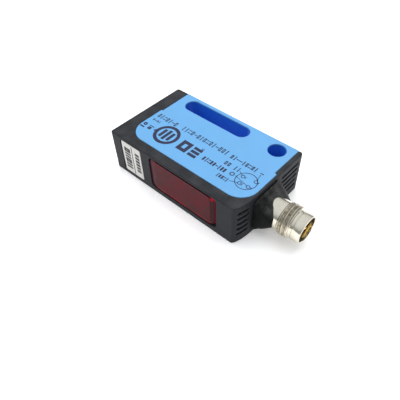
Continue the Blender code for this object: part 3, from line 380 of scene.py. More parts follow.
class Sheet:
    """A node tree with short ways to add and join nodes."""

    def __init__(self, tree: bpy.types.NodeTree) -> None:
        """Takes the node tree to write on."""
        self.tree = tree

    def add(self, kind: str, **settings: object) -> bpy.types.Node:
        """A new node of a kind, with its attributes set."""
        node = self.tree.nodes.new(kind)
        for name, value in settings.items():
            setattr(node, name, value)
        return node

    def put(self, socket: bpy.types.NodeSocket, value: object) -> None:
        """Links a socket to value, or sets it to value if that is a constant."""
        if isinstance(value, bpy.types.NodeSocket):
            self.tree.links.new(value, socket)
        else:
            socket.default_value = value

    def place(self) -> bpy.types.NodeSocket:
        """Object coordinates, in metres."""
        return self.add("ShaderNodeTexCoord").outputs["Object"]

    def upward(self) -> bpy.types.NodeSocket:
        """How far a face looks up: the third part of its normal."""
        return self.split(self.add("ShaderNodeNewGeometry").outputs["Normal"])[2]

    def math(self, operation: str, *values: object) -> bpy.types.NodeSocket:
        """The result of a Math node."""
        node = self.add("ShaderNodeMath", operation=operation)
        for socket, value in zip(node.inputs, values):
            self.put(socket, value)
        return node.outputs[0]

    def minus(self, first: object, second: object) -> bpy.types.NodeSocket:
        """The first value less the second."""
        return self.math("SUBTRACT", first, second)

    def times(self, first: object, *others: object) -> bpy.types.NodeSocket:
        """The product of two or more values."""
        for other in others:
            first = self.math("MULTIPLY", first, other)
        return first

    def distance(self, first: object, second: object) -> bpy.types.NodeSocket:
        """The length of the hypotenuse over two sides."""
        squares = self.math("ADD", self.math("POWER", first, 2.0), self.math("POWER", second, 2.0))
        return self.math("SQRT", squares)

    def ramp(self, value: object, low: float, high: float, start: float = 0.0,
             end: float = 1.0) -> bpy.types.NodeSocket:
        """A smooth step.

        Args:
            value: the socket to follow.
            low: the value where the step starts; it may lie above high.
            high: the value where it ends.
            start: the result at low and before it.
            end: the result at high and past it.

        Returns:
            The result's socket.
        """
        node = self.add("ShaderNodeMapRange", interpolation_type="SMOOTHSTEP")
        for socket, given in zip(node.inputs, (value, low, high, start, end)):
            self.put(socket, given)
        return node.outputs[0]

    def mix(self, factor: object, first: object, second: object) -> bpy.types.NodeSocket:
        """A mix of two colours, each a socket or three numbers."""
        node = self.add("ShaderNodeMix", data_type="RGBA")
        self.put(node.inputs["Factor"], factor)
        for socket, colour in zip(node.inputs[6:8], (first, second)):
            self.put(socket, (*colour, 1.0) if isinstance(colour, tuple) else colour)
        return node.outputs[2]

    def noise(self, place: object, scale: float, detail: float = 3.0,
              roughness: float = 0.55) -> bpy.types.NodeSocket:
        """The value of a noise texture.

        Args:
            place: where it is read.
            scale: cycles a metre.
            detail: number of finer octaves.
            roughness: share that each octave adds to the one before.

        Returns:
            The value's socket.
        """
        node = self.add("ShaderNodeTexNoise")
        settings = {"Vector": place, "Scale": scale, "Detail": detail, "Roughness": roughness}
        for name, value in settings.items():
            self.put(node.inputs[name], value)
        return node.outputs[0]

    def split(self, vector: object) -> Sequence[bpy.types.NodeSocket]:
        """The three parts of a vector."""
        node = self.add("ShaderNodeSeparateXYZ")
        self.put(node.inputs[0], vector)
        return node.outputs

    def group(self, tree: bpy.types.NodeTree, **values: object) -> bpy.types.Node:
        """A group node with its inputs set by name, where _ stands for a space."""
        node = self.add("ShaderNodeGroup", node_tree=tree)
        for name, value in values.items():
            self.put(node.inputs[name.replace("_", " ")], value)
        return node


def new_group(name: str, inputs: Sequence[tuple], outputs: Sequence[tuple]) -> tuple:
    """An empty shader group with named sockets.

    Args:
        name: the group's name.
        inputs: (name, kind, default) of each input.
        outputs: (name, kind) of each output.

    Returns:
        The group, its Sheet, its input node and its output node.
    """
    tree = bpy.data.node_groups.new(name, "ShaderNodeTree")
    for label, kind, default in inputs:
        socket = tree.interface.new_socket(name=label, in_out="INPUT", socket_type=kind)
        socket.default_value = default
    for label, kind in outputs:
        tree.interface.new_socket(name=label, in_out="OUTPUT", socket_type=kind)
    sheet = Sheet(tree)
    return tree, sheet, sheet.add("NodeGroupInput"), sheet.add("NodeGroupOutput")


COLOUR, NUMBER = "NodeSocketColor", "NodeSocketFloat"
WHITE = (1.0, 1.0, 1.0, 1.0)
# Pale colour of the dust, which also serves as painted light on faces that look up.
DUST_AND_TOP_LIGHT_COLOUR = (0.62, 0.62, 0.6)
SPECK_COVER = 0.4
BLOOM_COVER = 0.28


@lru_cache(maxsize=None)
def moulded_grain() -> bpy.types.NodeTree:
    """Fine spark-eroded grain with slow drifts of tone and gloss, as on injection mouldings."""
    tree, sheet, given, result = new_group(
        "moulded_grain",
        (("Colour", COLOUR, WHITE), ("Drift", NUMBER, 0.1), ("Grain Scale", NUMBER, 5000.0),
         ("Roughness", NUMBER, 0.4), ("Gloss Drift", NUMBER, 0.06)),
        (("Colour", COLOUR), ("Roughness", NUMBER), ("Height", NUMBER)))
    place = sheet.place()
    slow = sheet.noise(place, 140.0, 4.0)
    smear = sheet.noise(place, 520.0, 5.0, 0.65)
    fine = sheet.noise(place, 1.0, 2.0)
    sheet.put(fine.node.inputs["Scale"], given.outputs["Grain Scale"])
    darkening = sheet.times(sheet.minus(slow, 0.5), given.outputs["Drift"])
    shade = sheet.add("ShaderNodeHueSaturation")
    sheet.put(shade.inputs["Value"], sheet.math("ADD", darkening, 1.0))
    sheet.put(shade.inputs["Color"], given.outputs["Colour"])
    sheet.put(result.inputs["Colour"], shade.outputs[0])
    drift = sheet.times(sheet.minus(smear, 0.5), given.outputs["Gloss Drift"])
    sheet.put(result.inputs["Roughness"], sheet.math("ADD", given.outputs["Roughness"], drift))
    sheet.put(result.inputs["Height"], fine)
    return tree


@lru_cache(maxsize=None)
def edge_wear() -> bpy.types.NodeTree:
    """Paler, rubbed edges: where a rounded normal departs from the true one, broken up by noise."""
    tree, sheet, given, result = new_group(
        "edge_wear",
        (("Colour", COLOUR, WHITE), ("Worn Colour", COLOUR, WHITE), ("Amount", NUMBER, 0.3),
         ("Reach", NUMBER, 0.0002)),
        (("Colour", COLOUR),))
    softened = sheet.add("ShaderNodeBevel", samples=4)
    sheet.put(softened.inputs["Radius"], given.outputs["Reach"])
    true_normal = sheet.add("ShaderNodeNewGeometry").outputs["Normal"]
    product = sheet.add("ShaderNodeVectorMath", operation="DOT_PRODUCT")
    sheet.put(product.inputs[0], softened.outputs[0])
    sheet.put(product.inputs[1], true_normal)
    edge = sheet.ramp(product.outputs["Value"], 0.995, 0.9)
    place = sheet.place()
    broken = sheet.ramp(sheet.noise(place, 900.0, 6.0, 0.7), 0.42, 0.62)
    mask = sheet.times(edge, broken, given.outputs["Amount"])
    sheet.put(result.inputs["Colour"], sheet.mix(mask, given.outputs["Colour"], given.outputs["Worn Colour"]))
    return tree


@lru_cache(maxsize=None)
def dust_and_painted_top_light() -> bpy.types.NodeTree:
    """Pale specks of dust and a thin pale bloom on faces that look up; the bloom is partly dust and partly
    painted light that makes upward faces lighter than the sides.
    """
    tree, sheet, given, result = new_group(
        "dust_and_painted_top_light",
        (("Colour", COLOUR, WHITE), ("Amount", NUMBER, 0.1)),
        (("Colour", COLOUR),))
    up = sheet.upward()
    place = sheet.place()
    specks = sheet.times(sheet.ramp(sheet.noise(place, 3800.0, 2.0, 0.5), 0.70, 0.76), SPECK_COVER)
    bloom = sheet.times(sheet.ramp(sheet.noise(place, 260.0, 5.0, 0.6), 0.30, 0.75), BLOOM_COVER)
    cover = sheet.math("MAXIMUM", specks, bloom)
    mask = sheet.times(cover, sheet.ramp(up, 0.2, 0.9), given.outputs["Amount"])
    sheet.put(result.inputs["Colour"], sheet.mix(mask, given.outputs["Colour"], DUST_AND_TOP_LIGHT_COLOUR))
    return tree


# --- Finishes --------------------------------------------------------------

Colour = tuple


def blank_material(name: str) -> tuple:
    """A new material with its Sheet and its Principled shader."""
    material = bpy.data.materials.new(name)
    material.use_nodes = True
    return material, Sheet(material.node_tree), material.node_tree.nodes["Principled BSDF"]


def bump(sheet: Sheet, shader: bpy.types.Node, height: bpy.types.NodeSocket, depth: float) -> None:
    """Feeds a height to a shader's normal.

    Args:
        sheet: the material's sheet.
        shader: its shader node.
        height: a socket between 0 and 1.
        depth: what a height of 1 stands for, in metres.
    """
    node = sheet.add("ShaderNodeBump")
    node.inputs["Distance"].default_value = depth
    node.inputs["Strength"].default_value = 1.0
    sheet.put(node.inputs["Height"], height)
    sheet.put(shader.inputs["Normal"], node.outputs[0])


@dataclass(frozen=True)
class Moulding:
    """A moulded plastic or rubber finish."""

    name: str
    colour: Colour
    roughness: float = 0.42
    drift: float = 0.12
    gloss_drift: float = 0.08
    grain: float = 5200.0
    grain_depth: float = 6e-6
    worn: Colour = (0.2, 0.2, 0.2)
    wear: float = 0.0
    dust_and_top_light: float = 0.0
    coat: float = 0.0
    specular: float = 0.5

    def tint(self, sheet: Sheet) -> object:
        """The colour before grain, wear and the dust that also paints light on upward faces."""
        return (*self.colour, 1.0)

    def material(self) -> bpy.types.Material:
        """The finish as a node material."""
        material, sheet, shader = blank_material(self.name)
        grain = sheet.group(moulded_grain(), Colour=self.tint(sheet), Drift=self.drift,
                            Grain_Scale=self.grain, Roughness=self.roughness, Gloss_Drift=self.gloss_drift)
        colour = grain.outputs["Colour"]
        if self.wear:
            wear = sheet.group(edge_wear(), Colour=colour, Worn_Colour=(*self.worn, 1.0), Amount=self.wear)
            colour = wear.outputs["Colour"]
        # Dust on faces that look up, partly painted light: it makes tops lighter than sides.
        if self.dust_and_top_light:
            colour = sheet.group(dust_and_painted_top_light(), Colour=colour, Amount=self.dust_and_top_light).outputs["Colour"]
        sheet.put(shader.inputs["Base Color"], colour)
        sheet.put(shader.inputs["Roughness"], grain.outputs["Roughness"])
        shader.inputs["Coat Weight"].default_value = self.coat
        shader.inputs["Coat Roughness"].default_value = 0.08
        shader.inputs["Specular IOR Level"].default_value = self.specular
        bump(sheet, shader, grain.outputs["Height"], self.grain_depth)
        return material


@dataclass(frozen=True)
class BlueMoulding(Moulding):
    """The mounting housing's plastic, with painted shade in the slot and the hole: a darker, more saturated
    blue on their walls.
    """

    # Painted shade for the walls of the slot and the hole.
    painted_recess_shade: Colour = (0.020, 0.165, 0.72)
    slot_centre: Sequence[float] = (0.0, 0.0)
    slot_reach: float = 0.0
    slot_radius: float = 0.0
    hole_centre: Sequence[float] = (0.0, 0.0)
    hole_radius: float = 0.0

    def tint(self, sheet: Sheet) -> object:
        """Painted shade: a darker, more saturated blue within the slot's stadium and the hole's circle, below
        the two large faces.
        """
        place = sheet.place()
        x, y, z = sheet.split(place)

        def within(centre: Sequence[float], reach: float, radius: float) -> bpy.types.NodeSocket:
            """One inside a stadium, zero outside it."""
            along = sheet.math("ABSOLUTE", sheet.minus(x, centre[0]))
            beyond = sheet.math("MAXIMUM", sheet.minus(along, reach), 0.0)
            across = sheet.minus(y, centre[1])
            return sheet.math("LESS_THAN", sheet.distance(beyond, across), radius)

        inside = sheet.math("MAXIMUM", within(self.slot_centre, self.slot_reach, self.slot_radius),
                            within(self.hole_centre, 0.0, self.hole_radius))
        from_middle = sheet.math("ABSOLUTE", sheet.minus(z, float(CORNER[2] + MIDDLE)))
        below = sheet.ramp(from_middle, MIDDLE - 0.0001, MIDDLE - 0.0006)
        mask = sheet.times(inside, below)
        return sheet.mix(mask, self.colour, self.painted_recess_shade)


@dataclass(frozen=True)
class Plate:
    """A bright metal plate with turning marks round the X axis, grime in its recesses and, where one is
    given, painted shade on faces that look down.
    """

    name: str
    colour: Colour
    roughness: float = 0.22
    ring_scale: float = 9000.0
    ring_depth: float = 2e-6
    grime: Colour = (0.24, 0.19, 0.11)
    grime_amount: float = 0.0
    grime_fade: float = 0.0003
    painted_underside_shade: Colour = ()
    grime_span: Sequence[float] = (0.0, 0.0)
    grime_radius: Sequence[float] = (0.0, 0.0)
    axis: Sequence[float] = (0.0, 0.0)

    def material(self) -> bpy.types.Material:
        """The finish as a node material."""
        material, sheet, shader = blank_material(self.name)
        place = sheet.place()
        x, y, z = sheet.split(place)
        stretched = sheet.add("ShaderNodeCombineXYZ")
        for socket, value, share in zip(stretched.inputs, (x, y, z), (1.0, 0.05, 0.05)):
            sheet.put(socket, sheet.times(value, share))
        rings = sheet.noise(stretched.outputs[0], self.ring_scale, 2.0)
        smear = sheet.noise(place, 700.0, 5.0, 0.65)
        dulled = tuple(0.82 * part for part in self.colour)
        colour = sheet.mix(sheet.ramp(smear, 0.35, 0.75, 0.0, 0.35), self.colour, dulled)
        roughness = sheet.math("ADD", self.roughness, sheet.times(sheet.minus(smear, 0.5), 0.18))
        # Painted shade: faces that look down are darkened towards a duller colour.
        if self.painted_underside_shade:
            up = sheet.upward()
            colour = sheet.mix(sheet.ramp(up, 0.25, -0.5), colour, self.painted_underside_shade)
        if self.grime_amount:
            across = sheet.minus(y, self.axis[0])
            radius = sheet.distance(across, sheet.minus(z, self.axis[1]))
            low = sheet.ramp(radius, self.grime_radius[1], self.grime_radius[0])
            start = sheet.ramp(x, self.grime_span[0] - self.grime_fade, self.grime_span[0])
            end = sheet.ramp(x, self.grime_span[1] + self.grime_fade, self.grime_span[1])
            blotch = sheet.ramp(sheet.noise(place, 1500.0, 4.0, 0.6), 0.3, 0.7, 0.45, 1.0)
            mask = sheet.times(low, start, end, blotch, self.grime_amount)
            colour = sheet.mix(mask, colour, self.grime)
            roughness = sheet.math("ADD", roughness, sheet.times(mask, 0.3))
        sheet.put(shader.inputs["Base Color"], colour)
        sheet.put(shader.inputs["Roughness"], roughness)
        shader.inputs["Metallic"].default_value = 1.0
        bump(sheet, shader, rings, self.ring_depth)
        return material


@dataclass(frozen=True)
class RedWindow:
    """Dark red polished acrylic, with painted light and shade: painted highlights and glow along its rims,
    painted shade on its sloping ends, and a painted shadow line along the top.

    low and high are the (x, z) corners of the flat pad, and slope is the length of each sloping end.
    """

    name: str
    low: Sequence[float]
    high: Sequence[float]
    slope: float
    # The mottle is the acrylic's own tone; rim is a painted highlight, the glow a painted glow, the slope and
    # end-rim colours painted shade, and shade a painted shadow line.
    colour: Colour = (0.112, 0.007, 0.014)
    mottle: Colour = (0.070, 0.014, 0.016)
    rim: Colour = (0.160, 0.012, 0.028)
    painted_glow: Colour = (0.48, 0.008, 0.02)
    painted_start_slope_shade: Colour = (0.075, 0.014, 0.028)
    painted_end_slope_shade: Colour = (0.035, 0.016, 0.020)
    painted_end_rim_shade: Colour = (0.10, 0.004, 0.012)
    shade: Colour = (0.008, 0.004, 0.004)
    roughness: float = 0.3
    specular: float = 0.06

    def tint(self, sheet: Sheet) -> bpy.types.NodeSocket:
        """The mottled red, then painted light and shade, each laid over what comes before: a painted
        highlight along the top rim, a painted glow along the bottom edge, painted shade on both sloping ends
        and on the end rim, a painted glow at the upper corner of the end, and a painted shadow line along the
        top.
        """
        place = sheet.place()
        x, _, z = sheet.split(place)
        from_top = sheet.minus(self.high[1], z)
        from_bottom = sheet.minus(z, self.low[1])
        past_end = sheet.minus(x, self.high[0])
        before_start = sheet.minus(self.low[0], x)
        broken = sheet.ramp(sheet.noise(place, 700.0), 0.35, 0.6, 0.35, 1.0)
        mottled = sheet.ramp(sheet.noise(place, 300.0, 4.0, 0.55), 0.34, 0.68)
        painted_corner_glow_mask = sheet.times(sheet.ramp(past_end, -0.0002, 0.0002), sheet.ramp(from_top, 0.0011, 0.0006))
        # Painted light and shade, in order: top-rim highlight, bottom-edge glow, shade on both slopes and the
        # end rim, corner glow, shadow line along the top.
        layers = (
            (sheet.ramp(from_top, 0.0012, 0.0002, 0.0, 0.55), self.rim),
            (sheet.times(sheet.ramp(from_bottom, 0.0006, 0.0002, 0.0, 0.7), broken), self.painted_glow),
            (sheet.ramp(before_start, 0.0, 0.0003, 0.0, 0.7), self.painted_start_slope_shade),
            (sheet.ramp(past_end, 0.0, 0.00012, 0.0, 0.85), self.painted_end_slope_shade),
            (sheet.ramp(past_end, 0.35 * self.slope, 0.55 * self.slope), self.painted_end_rim_shade),
            (painted_corner_glow_mask, self.painted_glow),
            (sheet.ramp(from_top, 0.00016, 0.00006), self.shade))
        colour = sheet.mix(mottled, self.colour, self.mottle)
        for mask, over in layers:
            colour = sheet.mix(mask, colour, over)
        return colour

    def material(self) -> bpy.types.Material:
        """The finish as a node material."""
        material, sheet, shader = blank_material(self.name)
        sheet.put(shader.inputs["Base Color"], self.tint(sheet))
        shader.inputs["Roughness"].default_value = self.roughness
        shader.inputs["Specular IOR Level"].default_value = self.specular
        bump(sheet, shader, sheet.noise(sheet.place(), 900.0, 3.0), 3e-6)
        return material


@dataclass(frozen=True)
class ClearResin:
    """A clear or tinted moulded lens or light guide, which may be given a painted glow."""

    name: str
    colour: Colour
    roughness: float = 0.05
    transmission: float = 1.0
    painted_glow: float = 0.0

    def material(self) -> bpy.types.Material:
        """The finish as a node material."""
        material, sheet, shader = blank_material(self.name)
        place = sheet.place()
        drift = sheet.ramp(sheet.noise(place, 800.0, 3.0), 0.3, 0.7, 0.0, 0.25)
        colour = sheet.mix(drift, self.colour, tuple(0.85 * part for part in self.colour))
        sheet.put(shader.inputs["Base Color"], colour)
        shader.inputs["Roughness"].default_value = self.roughness
        shader.inputs["Transmission Weight"].default_value = self.transmission
        shader.inputs["IOR"].default_value = 1.49
        # Painted glow: emission in the resin's own colour, so the part shines although no lamp lights it.
        if self.painted_glow:
            sheet.put(shader.inputs["Emission Color"], colour)
            shader.inputs["Emission Strength"].default_value = self.painted_glow
        bump(sheet, shader, sheet.noise(place, 2600.0, 2.0), 2e-6)
        return material


@dataclass(frozen=True)
class Laminate:
    """A green circuit board with copper tracks under its lacquer."""

    name: str
    colour: Colour = (0.015, 0.15, 0.06)
    track: Colour = (0.04, 0.27, 0.11)

    def material(self) -> bpy.types.Material:
        """The finish as a node material."""
        material, sheet, shader = blank_material(self.name)
        place = sheet.place()
        cells = sheet.add("ShaderNodeTexVoronoi", feature="DISTANCE_TO_EDGE", distance="EUCLIDEAN")
        sheet.put(cells.inputs["Vector"], place)
        cells.inputs["Scale"].default_value = 700.0
        tracks = sheet.ramp(cells.outputs["Distance"], 0.10, 0.06)
        colour = sheet.mix(tracks, self.colour, self.track)
        sheet.put(shader.inputs["Base Color"], colour)
        sheet.put(shader.inputs["Roughness"], sheet.ramp(sheet.noise(place, 900.0), 0.2, 0.8, 0.3, 0.5))
        bump(sheet, shader, tracks, 2e-5)
        return material


@dataclass(frozen=True)
class Paper:
    """Slightly yellowed sticker paper with fibres."""

    name: str
    colour: Colour = (0.74, 0.73, 0.70)
    stained: Colour = (0.6, 0.585, 0.54)

    def material(self) -> bpy.types.Material:
        """The finish as a node material."""
        material, sheet, shader = blank_material(self.name)
        place = sheet.place()
        fibres = sheet.noise(place, 4200.0, 6.0, 0.75)
        stain = sheet.ramp(sheet.noise(place, 420.0, 4.0), 0.4, 0.75, 0.0, 0.4)
        colour = sheet.mix(stain, self.colour, self.stained)
        sheet.put(shader.inputs["Base Color"], colour)
        shader.inputs["Roughness"].default_value = 0.62
        bump(sheet, shader, fibres, 8e-6)
        return material


# The black frame's dust is partly painted light that lifts its upward faces against its darker front.
BLACK_PLASTIC = Moulding("black_moulding", (0.0225, 0.0245, 0.029), 0.5, worn=(0.13, 0.13, 0.135), wear=0.35,
                         dust_and_top_light=0.13, specular=0.12)
BOOT_PLASTIC = Moulding("boot_moulding", (0.005, 0.006, 0.006), 0.4, grain=3600.0, worn=(0.16, 0.17, 0.16),
                        wear=0.5, dust_and_top_light=0.45, gloss_drift=0.16, specular=0.06)
INSERT_PLASTIC = Moulding("insert_moulding", (0.02, 0.02, 0.02), 0.45)
CHIP_RESIN = Moulding("chip_resin", (0.02, 0.02, 0.021), 0.55, grain=9000.0)
CAPACITOR_RESIN = Moulding("capacitor_resin", (0.62, 0.38, 0.06), 0.4)
CONTROL_HOUSING = Moulding("control_housing", (0.05, 0.09, 0.28), 0.45)
KNOB_PLASTIC = Moulding("knob_moulding", (0.62, 0.61, 0.57), 0.35, worn=(0.3, 0.29, 0.27), wear=0.3, dust_and_top_light=0.1)
FOAM = Moulding("black_foam", (0.015, 0.015, 0.015), 0.9, grain=2600.0, grain_depth=6e-5)
SEAL_RUBBER = Moulding("seal_rubber", (0.015, 0.015, 0.015), 0.7)
FILTER_FILM = Moulding("filter_film", (0.08, 0.09, 0.1), 0.12, coat=0.5)
PRINT_INK = Moulding("printing_ink", (0.018, 0.02, 0.06), 0.5, drift=0.4)
STICKER_INK = Moulding("sticker_ink", (0.02, 0.02, 0.022), 0.55, drift=0.5)
PANEL_INK = Moulding("panel_ink", (0.7, 0.7, 0.68), 0.5, drift=0.2)
TIN = Plate("tin_plate", (0.62, 0.62, 0.6), 0.32)
GOLD = Plate("gold_plate", (0.86, 0.58, 0.18), 0.2)
NICKEL_COLOUR = (0.83, 0.79, 0.67)
# Painted shade for the nickel's faces that look down.
NICKEL_PAINTED_SHADE = (0.60, 0.555, 0.44)
BOARD = Laminate("board_laminate")
STICKER_PAPER = Paper("sticker_paper")
CLEAR_LENS = ClearResin("clear_lens", (0.92, 0.94, 0.95))
# The last number of each is the strength of a painted glow.
LAMP_RED = ClearResin("lamp_resin_red", (0.8, 0.12, 0.08), 0.1, 0.6)
LAMP_GREEN = ClearResin("lamp_resin_green", (0.25, 0.8, 0.3), 0.1, 0.6)
LAMP_YELLOW = ClearResin("lamp_resin_yellow", (0.9, 0.55, 0.1), 0.1, 0.6)
GUIDE_GREEN = ClearResin("guide_green", (0.15, 0.62, 0.22), 0.12, 0.35)
GUIDE_YELLOW = ClearResin("guide_yellow", (0.85, 0.5, 0.06), 0.12, 0.35)
DIODE_RESIN = ClearResin("diode_resin", (0.06, 0.03, 0.05), 0.15, 0.2)
WIRE_FINISHES = (
    Moulding("wire_brown", (0.16, 0.06, 0.03), 0.4), Moulding("wire_white", (0.8, 0.8, 0.77), 0.4),
    Moulding("wire_blue", (0.03, 0.1, 0.45), 0.4), Moulding("wire_black", (0.015, 0.015, 0.015), 0.4))


@lru_cache(maxsize=None)
def material_of(finish: object) -> bpy.types.Material:
    """The one material of a finish."""
    return finish.material()


def dress(piece: bpy.types.Object, finish: object) -> None:
    """Gives a piece one finish all over."""
    piece.data.materials.clear()
    piece.data.materials.append(material_of(finish))


def mount_piece(piece: bpy.types.Object, finish: object, nodes: Sequence[str], slot: str,
                body: str = FIXED_BODY) -> None:
    """Dresses a piece, lets it ride on its body, hides the CAD nodes that it replaces, and logs it.

    Args:
        piece: the object.
        finish: its finish.
        nodes: the CAD nodes that it replaces, if any.
        slot: not used.
        body: the body that it rides on.
    """
    dress(piece, finish)
    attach(piece, body)
    if nodes:
        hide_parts(*nodes)
    LOG.info("%s: %d faces, rides on %s", piece.name, len(piece.data.polygons), body)


# --- Housing ---------------------------------------------------------------

@dataclass(frozen=True)
class Layout:
    """Sizes that the black frame and the blue housing share, measured as the CAD model measures them."""

    skin: float = 0.0011
    blue_front: float = 0.0027
    blue_control: float = 0.00345
    blue_connector: float = 0.0006
    blue_corner: float = 0.0048
    flange_depth: float = 0.0099
    flange_control: float = 0.0039
    flange_connector: float = 0.0012
    front_wall: float = 0.0017
    control_wall: float = 0.0024
    connector_wall: float = 0.0024
    seam: float = 0.00007

    @property
    def flange_front(self) -> float:
        """Front of the solid flange."""
        return WIDTH - self.flange_depth

    def skin_outline(self, grow: float) -> Array:
        """The large skins in plan: a rectangle whose two front corners are quarter circles."""
        low = (self.blue_control - grow, self.blue_front - grow)
        high = (LENGTH - self.blue_connector + grow, self.flange_front + grow)
        radius = self.blue_corner + grow
        pair = (radius, radius)
        return np.concatenate([
            [(high[0], high[1]), (low[0], high[1])],
            arc((low[0] + radius, low[1] + radius), pair, 180, 270, 24),
            arc((high[0] - radius, low[1] + radius), pair, 270, 360, 24)])

    def blue_outline(self) -> Array:
        """Skins and flange in one outline, with a small step where they meet at each side."""
        skins = self.skin_outline(0.0)
        right = LENGTH - self.flange_connector
        left = self.flange_control
        flange = [(right, self.flange_front), (right, WIDTH), (left, WIDTH), (left, self.flange_front)]
        return np.concatenate([skins[:1], flange, skins[1:]])

    def chamber(self, name: str) -> bpy.types.Object:
        """The hollow for optics and electronics, as a cutting block."""
        return block(name, (self.control_wall, self.front_wall, self.skin),
                     (LENGTH - self.connector_wall, self.flange_front, THICKNESS - self.skin))


@dataclass
class MountingHousing:
    """Blue moulding: two skins and the solid flange with its slot and hole."""

    layout: Layout
    edge: float = 0.00018
    row: float = 0.0033
    slot_width: float = 0.0043
    slot_length: float = 0.0205
    slot_margin: float = 0.0066
    hole_diameter: float = 0.0045
    hole_margin: float = 0.00525
    mouth_edge: float = 0.00022
    painted_shade_margin: float = 0.00006
    colour: Colour = (0.125, 0.375, 0.70)
    worn: Colour = (0.35, 0.6, 0.85)

    def centres(self) -> tuple:
        """Centres of the slot and of the hole, from the body's corner."""
        row = WIDTH - self.row
        return (self.slot_margin + self.slot_length / 2, row), (LENGTH - self.hole_margin, row)

    def finish(self) -> BlueMoulding:
        """Blue plastic whose painted shade is placed by the slot and the hole."""
        slot, hole = (at(*centre, 0.0) for centre in self.centres())
        return BlueMoulding(
            "blue_moulding", self.colour, 0.40, worn=self.worn, wear=0.35, dust_and_top_light=0.05,
            slot_centre=(float(slot[0]), float(slot[1])), slot_reach=(self.slot_length - self.slot_width) / 2,
            slot_radius=self.slot_width / 2 + self.painted_shade_margin, hole_centre=(float(hole[0]), float(hole[1])),
            hole_radius=self.hole_diameter / 2 + self.painted_shade_margin)

    def build(self) -> bpy.types.Object:
        """Builds, dresses and mounts the moulding."""
        housing = prism("blue_mounting_housing", self.layout.blue_outline(), 0.0, THICKNESS, edge=self.edge)
        slot_centre, hole_centre = self.centres()
        low, high = -OVERCUT, THICKNESS + OVERCUT
        inner = block("chamber_tool", (-OVERCUT, -OVERCUT, self.layout.skin),
                      (LENGTH + OVERCUT, self.layout.flange_front, THICKNESS - self.layout.skin))
        carve(housing, inner,
              prism("slot_tool", stadium(slot_centre, self.slot_length, self.slot_width, 28), low, high),
              prism("hole_tool", circle(hole_centre, self.hole_diameter / 2, 56), low, high))
        ease_edges(housing, self.mouth_edge, 3, 60.0)
        polish(housing)
        mount_piece(housing, self.finish(), ["mounting_housing"], "mounting_housing")
        return housing


@dataclass
class WrapFrame:
    """Black moulding round the front, the control end and the connector end."""

    layout: Layout
    edge: float = 0.0003
    corner: float = 0.0006
    nose_depth: float = 0.0018
    nose_length: float = 0.0072
    cut_edge: float = 0.00007
    opening_gap: float = 0.0001
    groove_count: int = 5
    groove_pitch: float = 0.00172
    groove_rise: float = 0.0004
    groove_height: float = 0.0008
    groove_depth: float = 0.0005
    front_groove_start: float = 0.0009
    front_groove_length: float = 0.0034
    back_groove_margin: float = 0.0014
    back_groove_length: float = 0.0072
    sticker_recess: float = 0.0003
    recess_gap: float = 0.00045
    recess_corner: float = 0.0004
    hole_gap: float = 0.0002

    def outline(self) -> Array:
        """The body in plan: three small round corners and a quarter of an ellipse at the plug's front."""
        small = (self.corner, self.corner)
        nose = (self.nose_depth, self.nose_length)
        return np.concatenate([
            arc((LENGTH - self.nose_depth, self.nose_length), nose, -90, 0, 20),
            arc((LENGTH - self.corner, WIDTH - self.corner), small, 0, 90, 5),
            arc((self.corner, WIDTH - self.corner), small, 90, 180, 5),
            arc((self.corner, self.corner), small, 180, 270, 5)])

    def pockets(self) -> list:
        """Tools for the blue housing's seat and for the chamber."""
        layout = self.layout
        seam = layout.seam
        depth = layout.skin + seam
        flange = block(
            "flange_tool", (layout.flange_control - seam, layout.flange_front - seam, -OVERCUT),
            (LENGTH - layout.flange_connector + seam, WIDTH + OVERCUT, THICKNESS + OVERCUT))
        upper = prism("upper_tool", layout.skin_outline(seam), THICKNESS - depth, THICKNESS + OVERCUT)
        lower = prism("lower_tool", layout.skin_outline(seam), -OVERCUT, depth)
        return [flange, upper, lower, layout.chamber("chamber_tool")]

    def openings(self) -> list:
        """Tools for the window, the sticker's recess, the boot, the knobs and the light guides."""
        gap = self.opening_gap
        pane = RedWindowPiece()
        low, high = pane.opening()
        window = prism("window_tool", rounded_rectangle(low - gap, high + gap, pane.corner + gap, 8),
                       -OVERCUT, self.layout.front_wall + OVERCUT, Axis.Y)
        low, high = (corner[[0, 2]] + (0.0, Sticker.rise) for corner in extent("front_sticker"))
        outline = rounded_rectangle(low - (self.recess_gap, gap), high + gap, self.recess_corner, 4)
        recess = prism("recess_tool", outline, -OVERCUT, self.sticker_recess, Axis.Y)
        axis, half = Plug().axis, Plug.spigot / 2 + gap
        boot = block("boot_tool", (LENGTH - self.layout.connector_wall - OVERCUT, *(axis - half)),
                     (LENGTH + OVERCUT, *(axis + half)))
        tools = [window, recess, boot]
        for node in ("sensitivity_adjuster", "mode_selector", "power_light_guide", "output_light_guide"):
            _, _, centre, radius = round_extent(node)
            radius += gap if "guide" in node else self.hole_gap
            tools.append(rod(f"{node}_tool", centre, radius, -OVERCUT, self.layout.control_wall + OVERCUT))
        return tools

    def grooves(self) -> list:
        """Tools for the finger grooves: stadiums cut into the connector end, before and behind the boot."""
        back_start = WIDTH - self.back_groove_margin - self.back_groove_length
        rows = ((self.front_groove_start, self.front_groove_length, self.groove_depth + self.nose_depth / 2),
                (back_start, self.back_groove_length, self.groove_depth))
        steps = np.arange(self.groove_count) - (self.groove_count - 1) / 2
        tools = []
        for row, (start, length, depth) in enumerate(rows):
            for number, height in enumerate(MIDDLE + self.groove_rise + steps * self.groove_pitch):
                outline = stadium((start + length / 2, height), length, self.groove_height, 6)
                name = f"groove_{row}_{number}_tool"
                tools.append(prism(name, outline, LENGTH - depth, LENGTH + OVERCUT, Axis.X))
        return tools

    def build(self) -> bpy.types.Object:
        """Builds, dresses and mounts the moulding."""
        body = prism("black_wrap_frame", self.outline(), 0.0, THICKNESS, edge=self.edge)
        carve(body, *self.pockets())
        carve(body, *self.openings())
        carve(body, *self.grooves())
        ease_edges(body, self.cut_edge, 2, 50.0)
        polish(body)
        mount_piece(body, BLACK_PLASTIC, ["front_frame"], "front_frame")
        return body


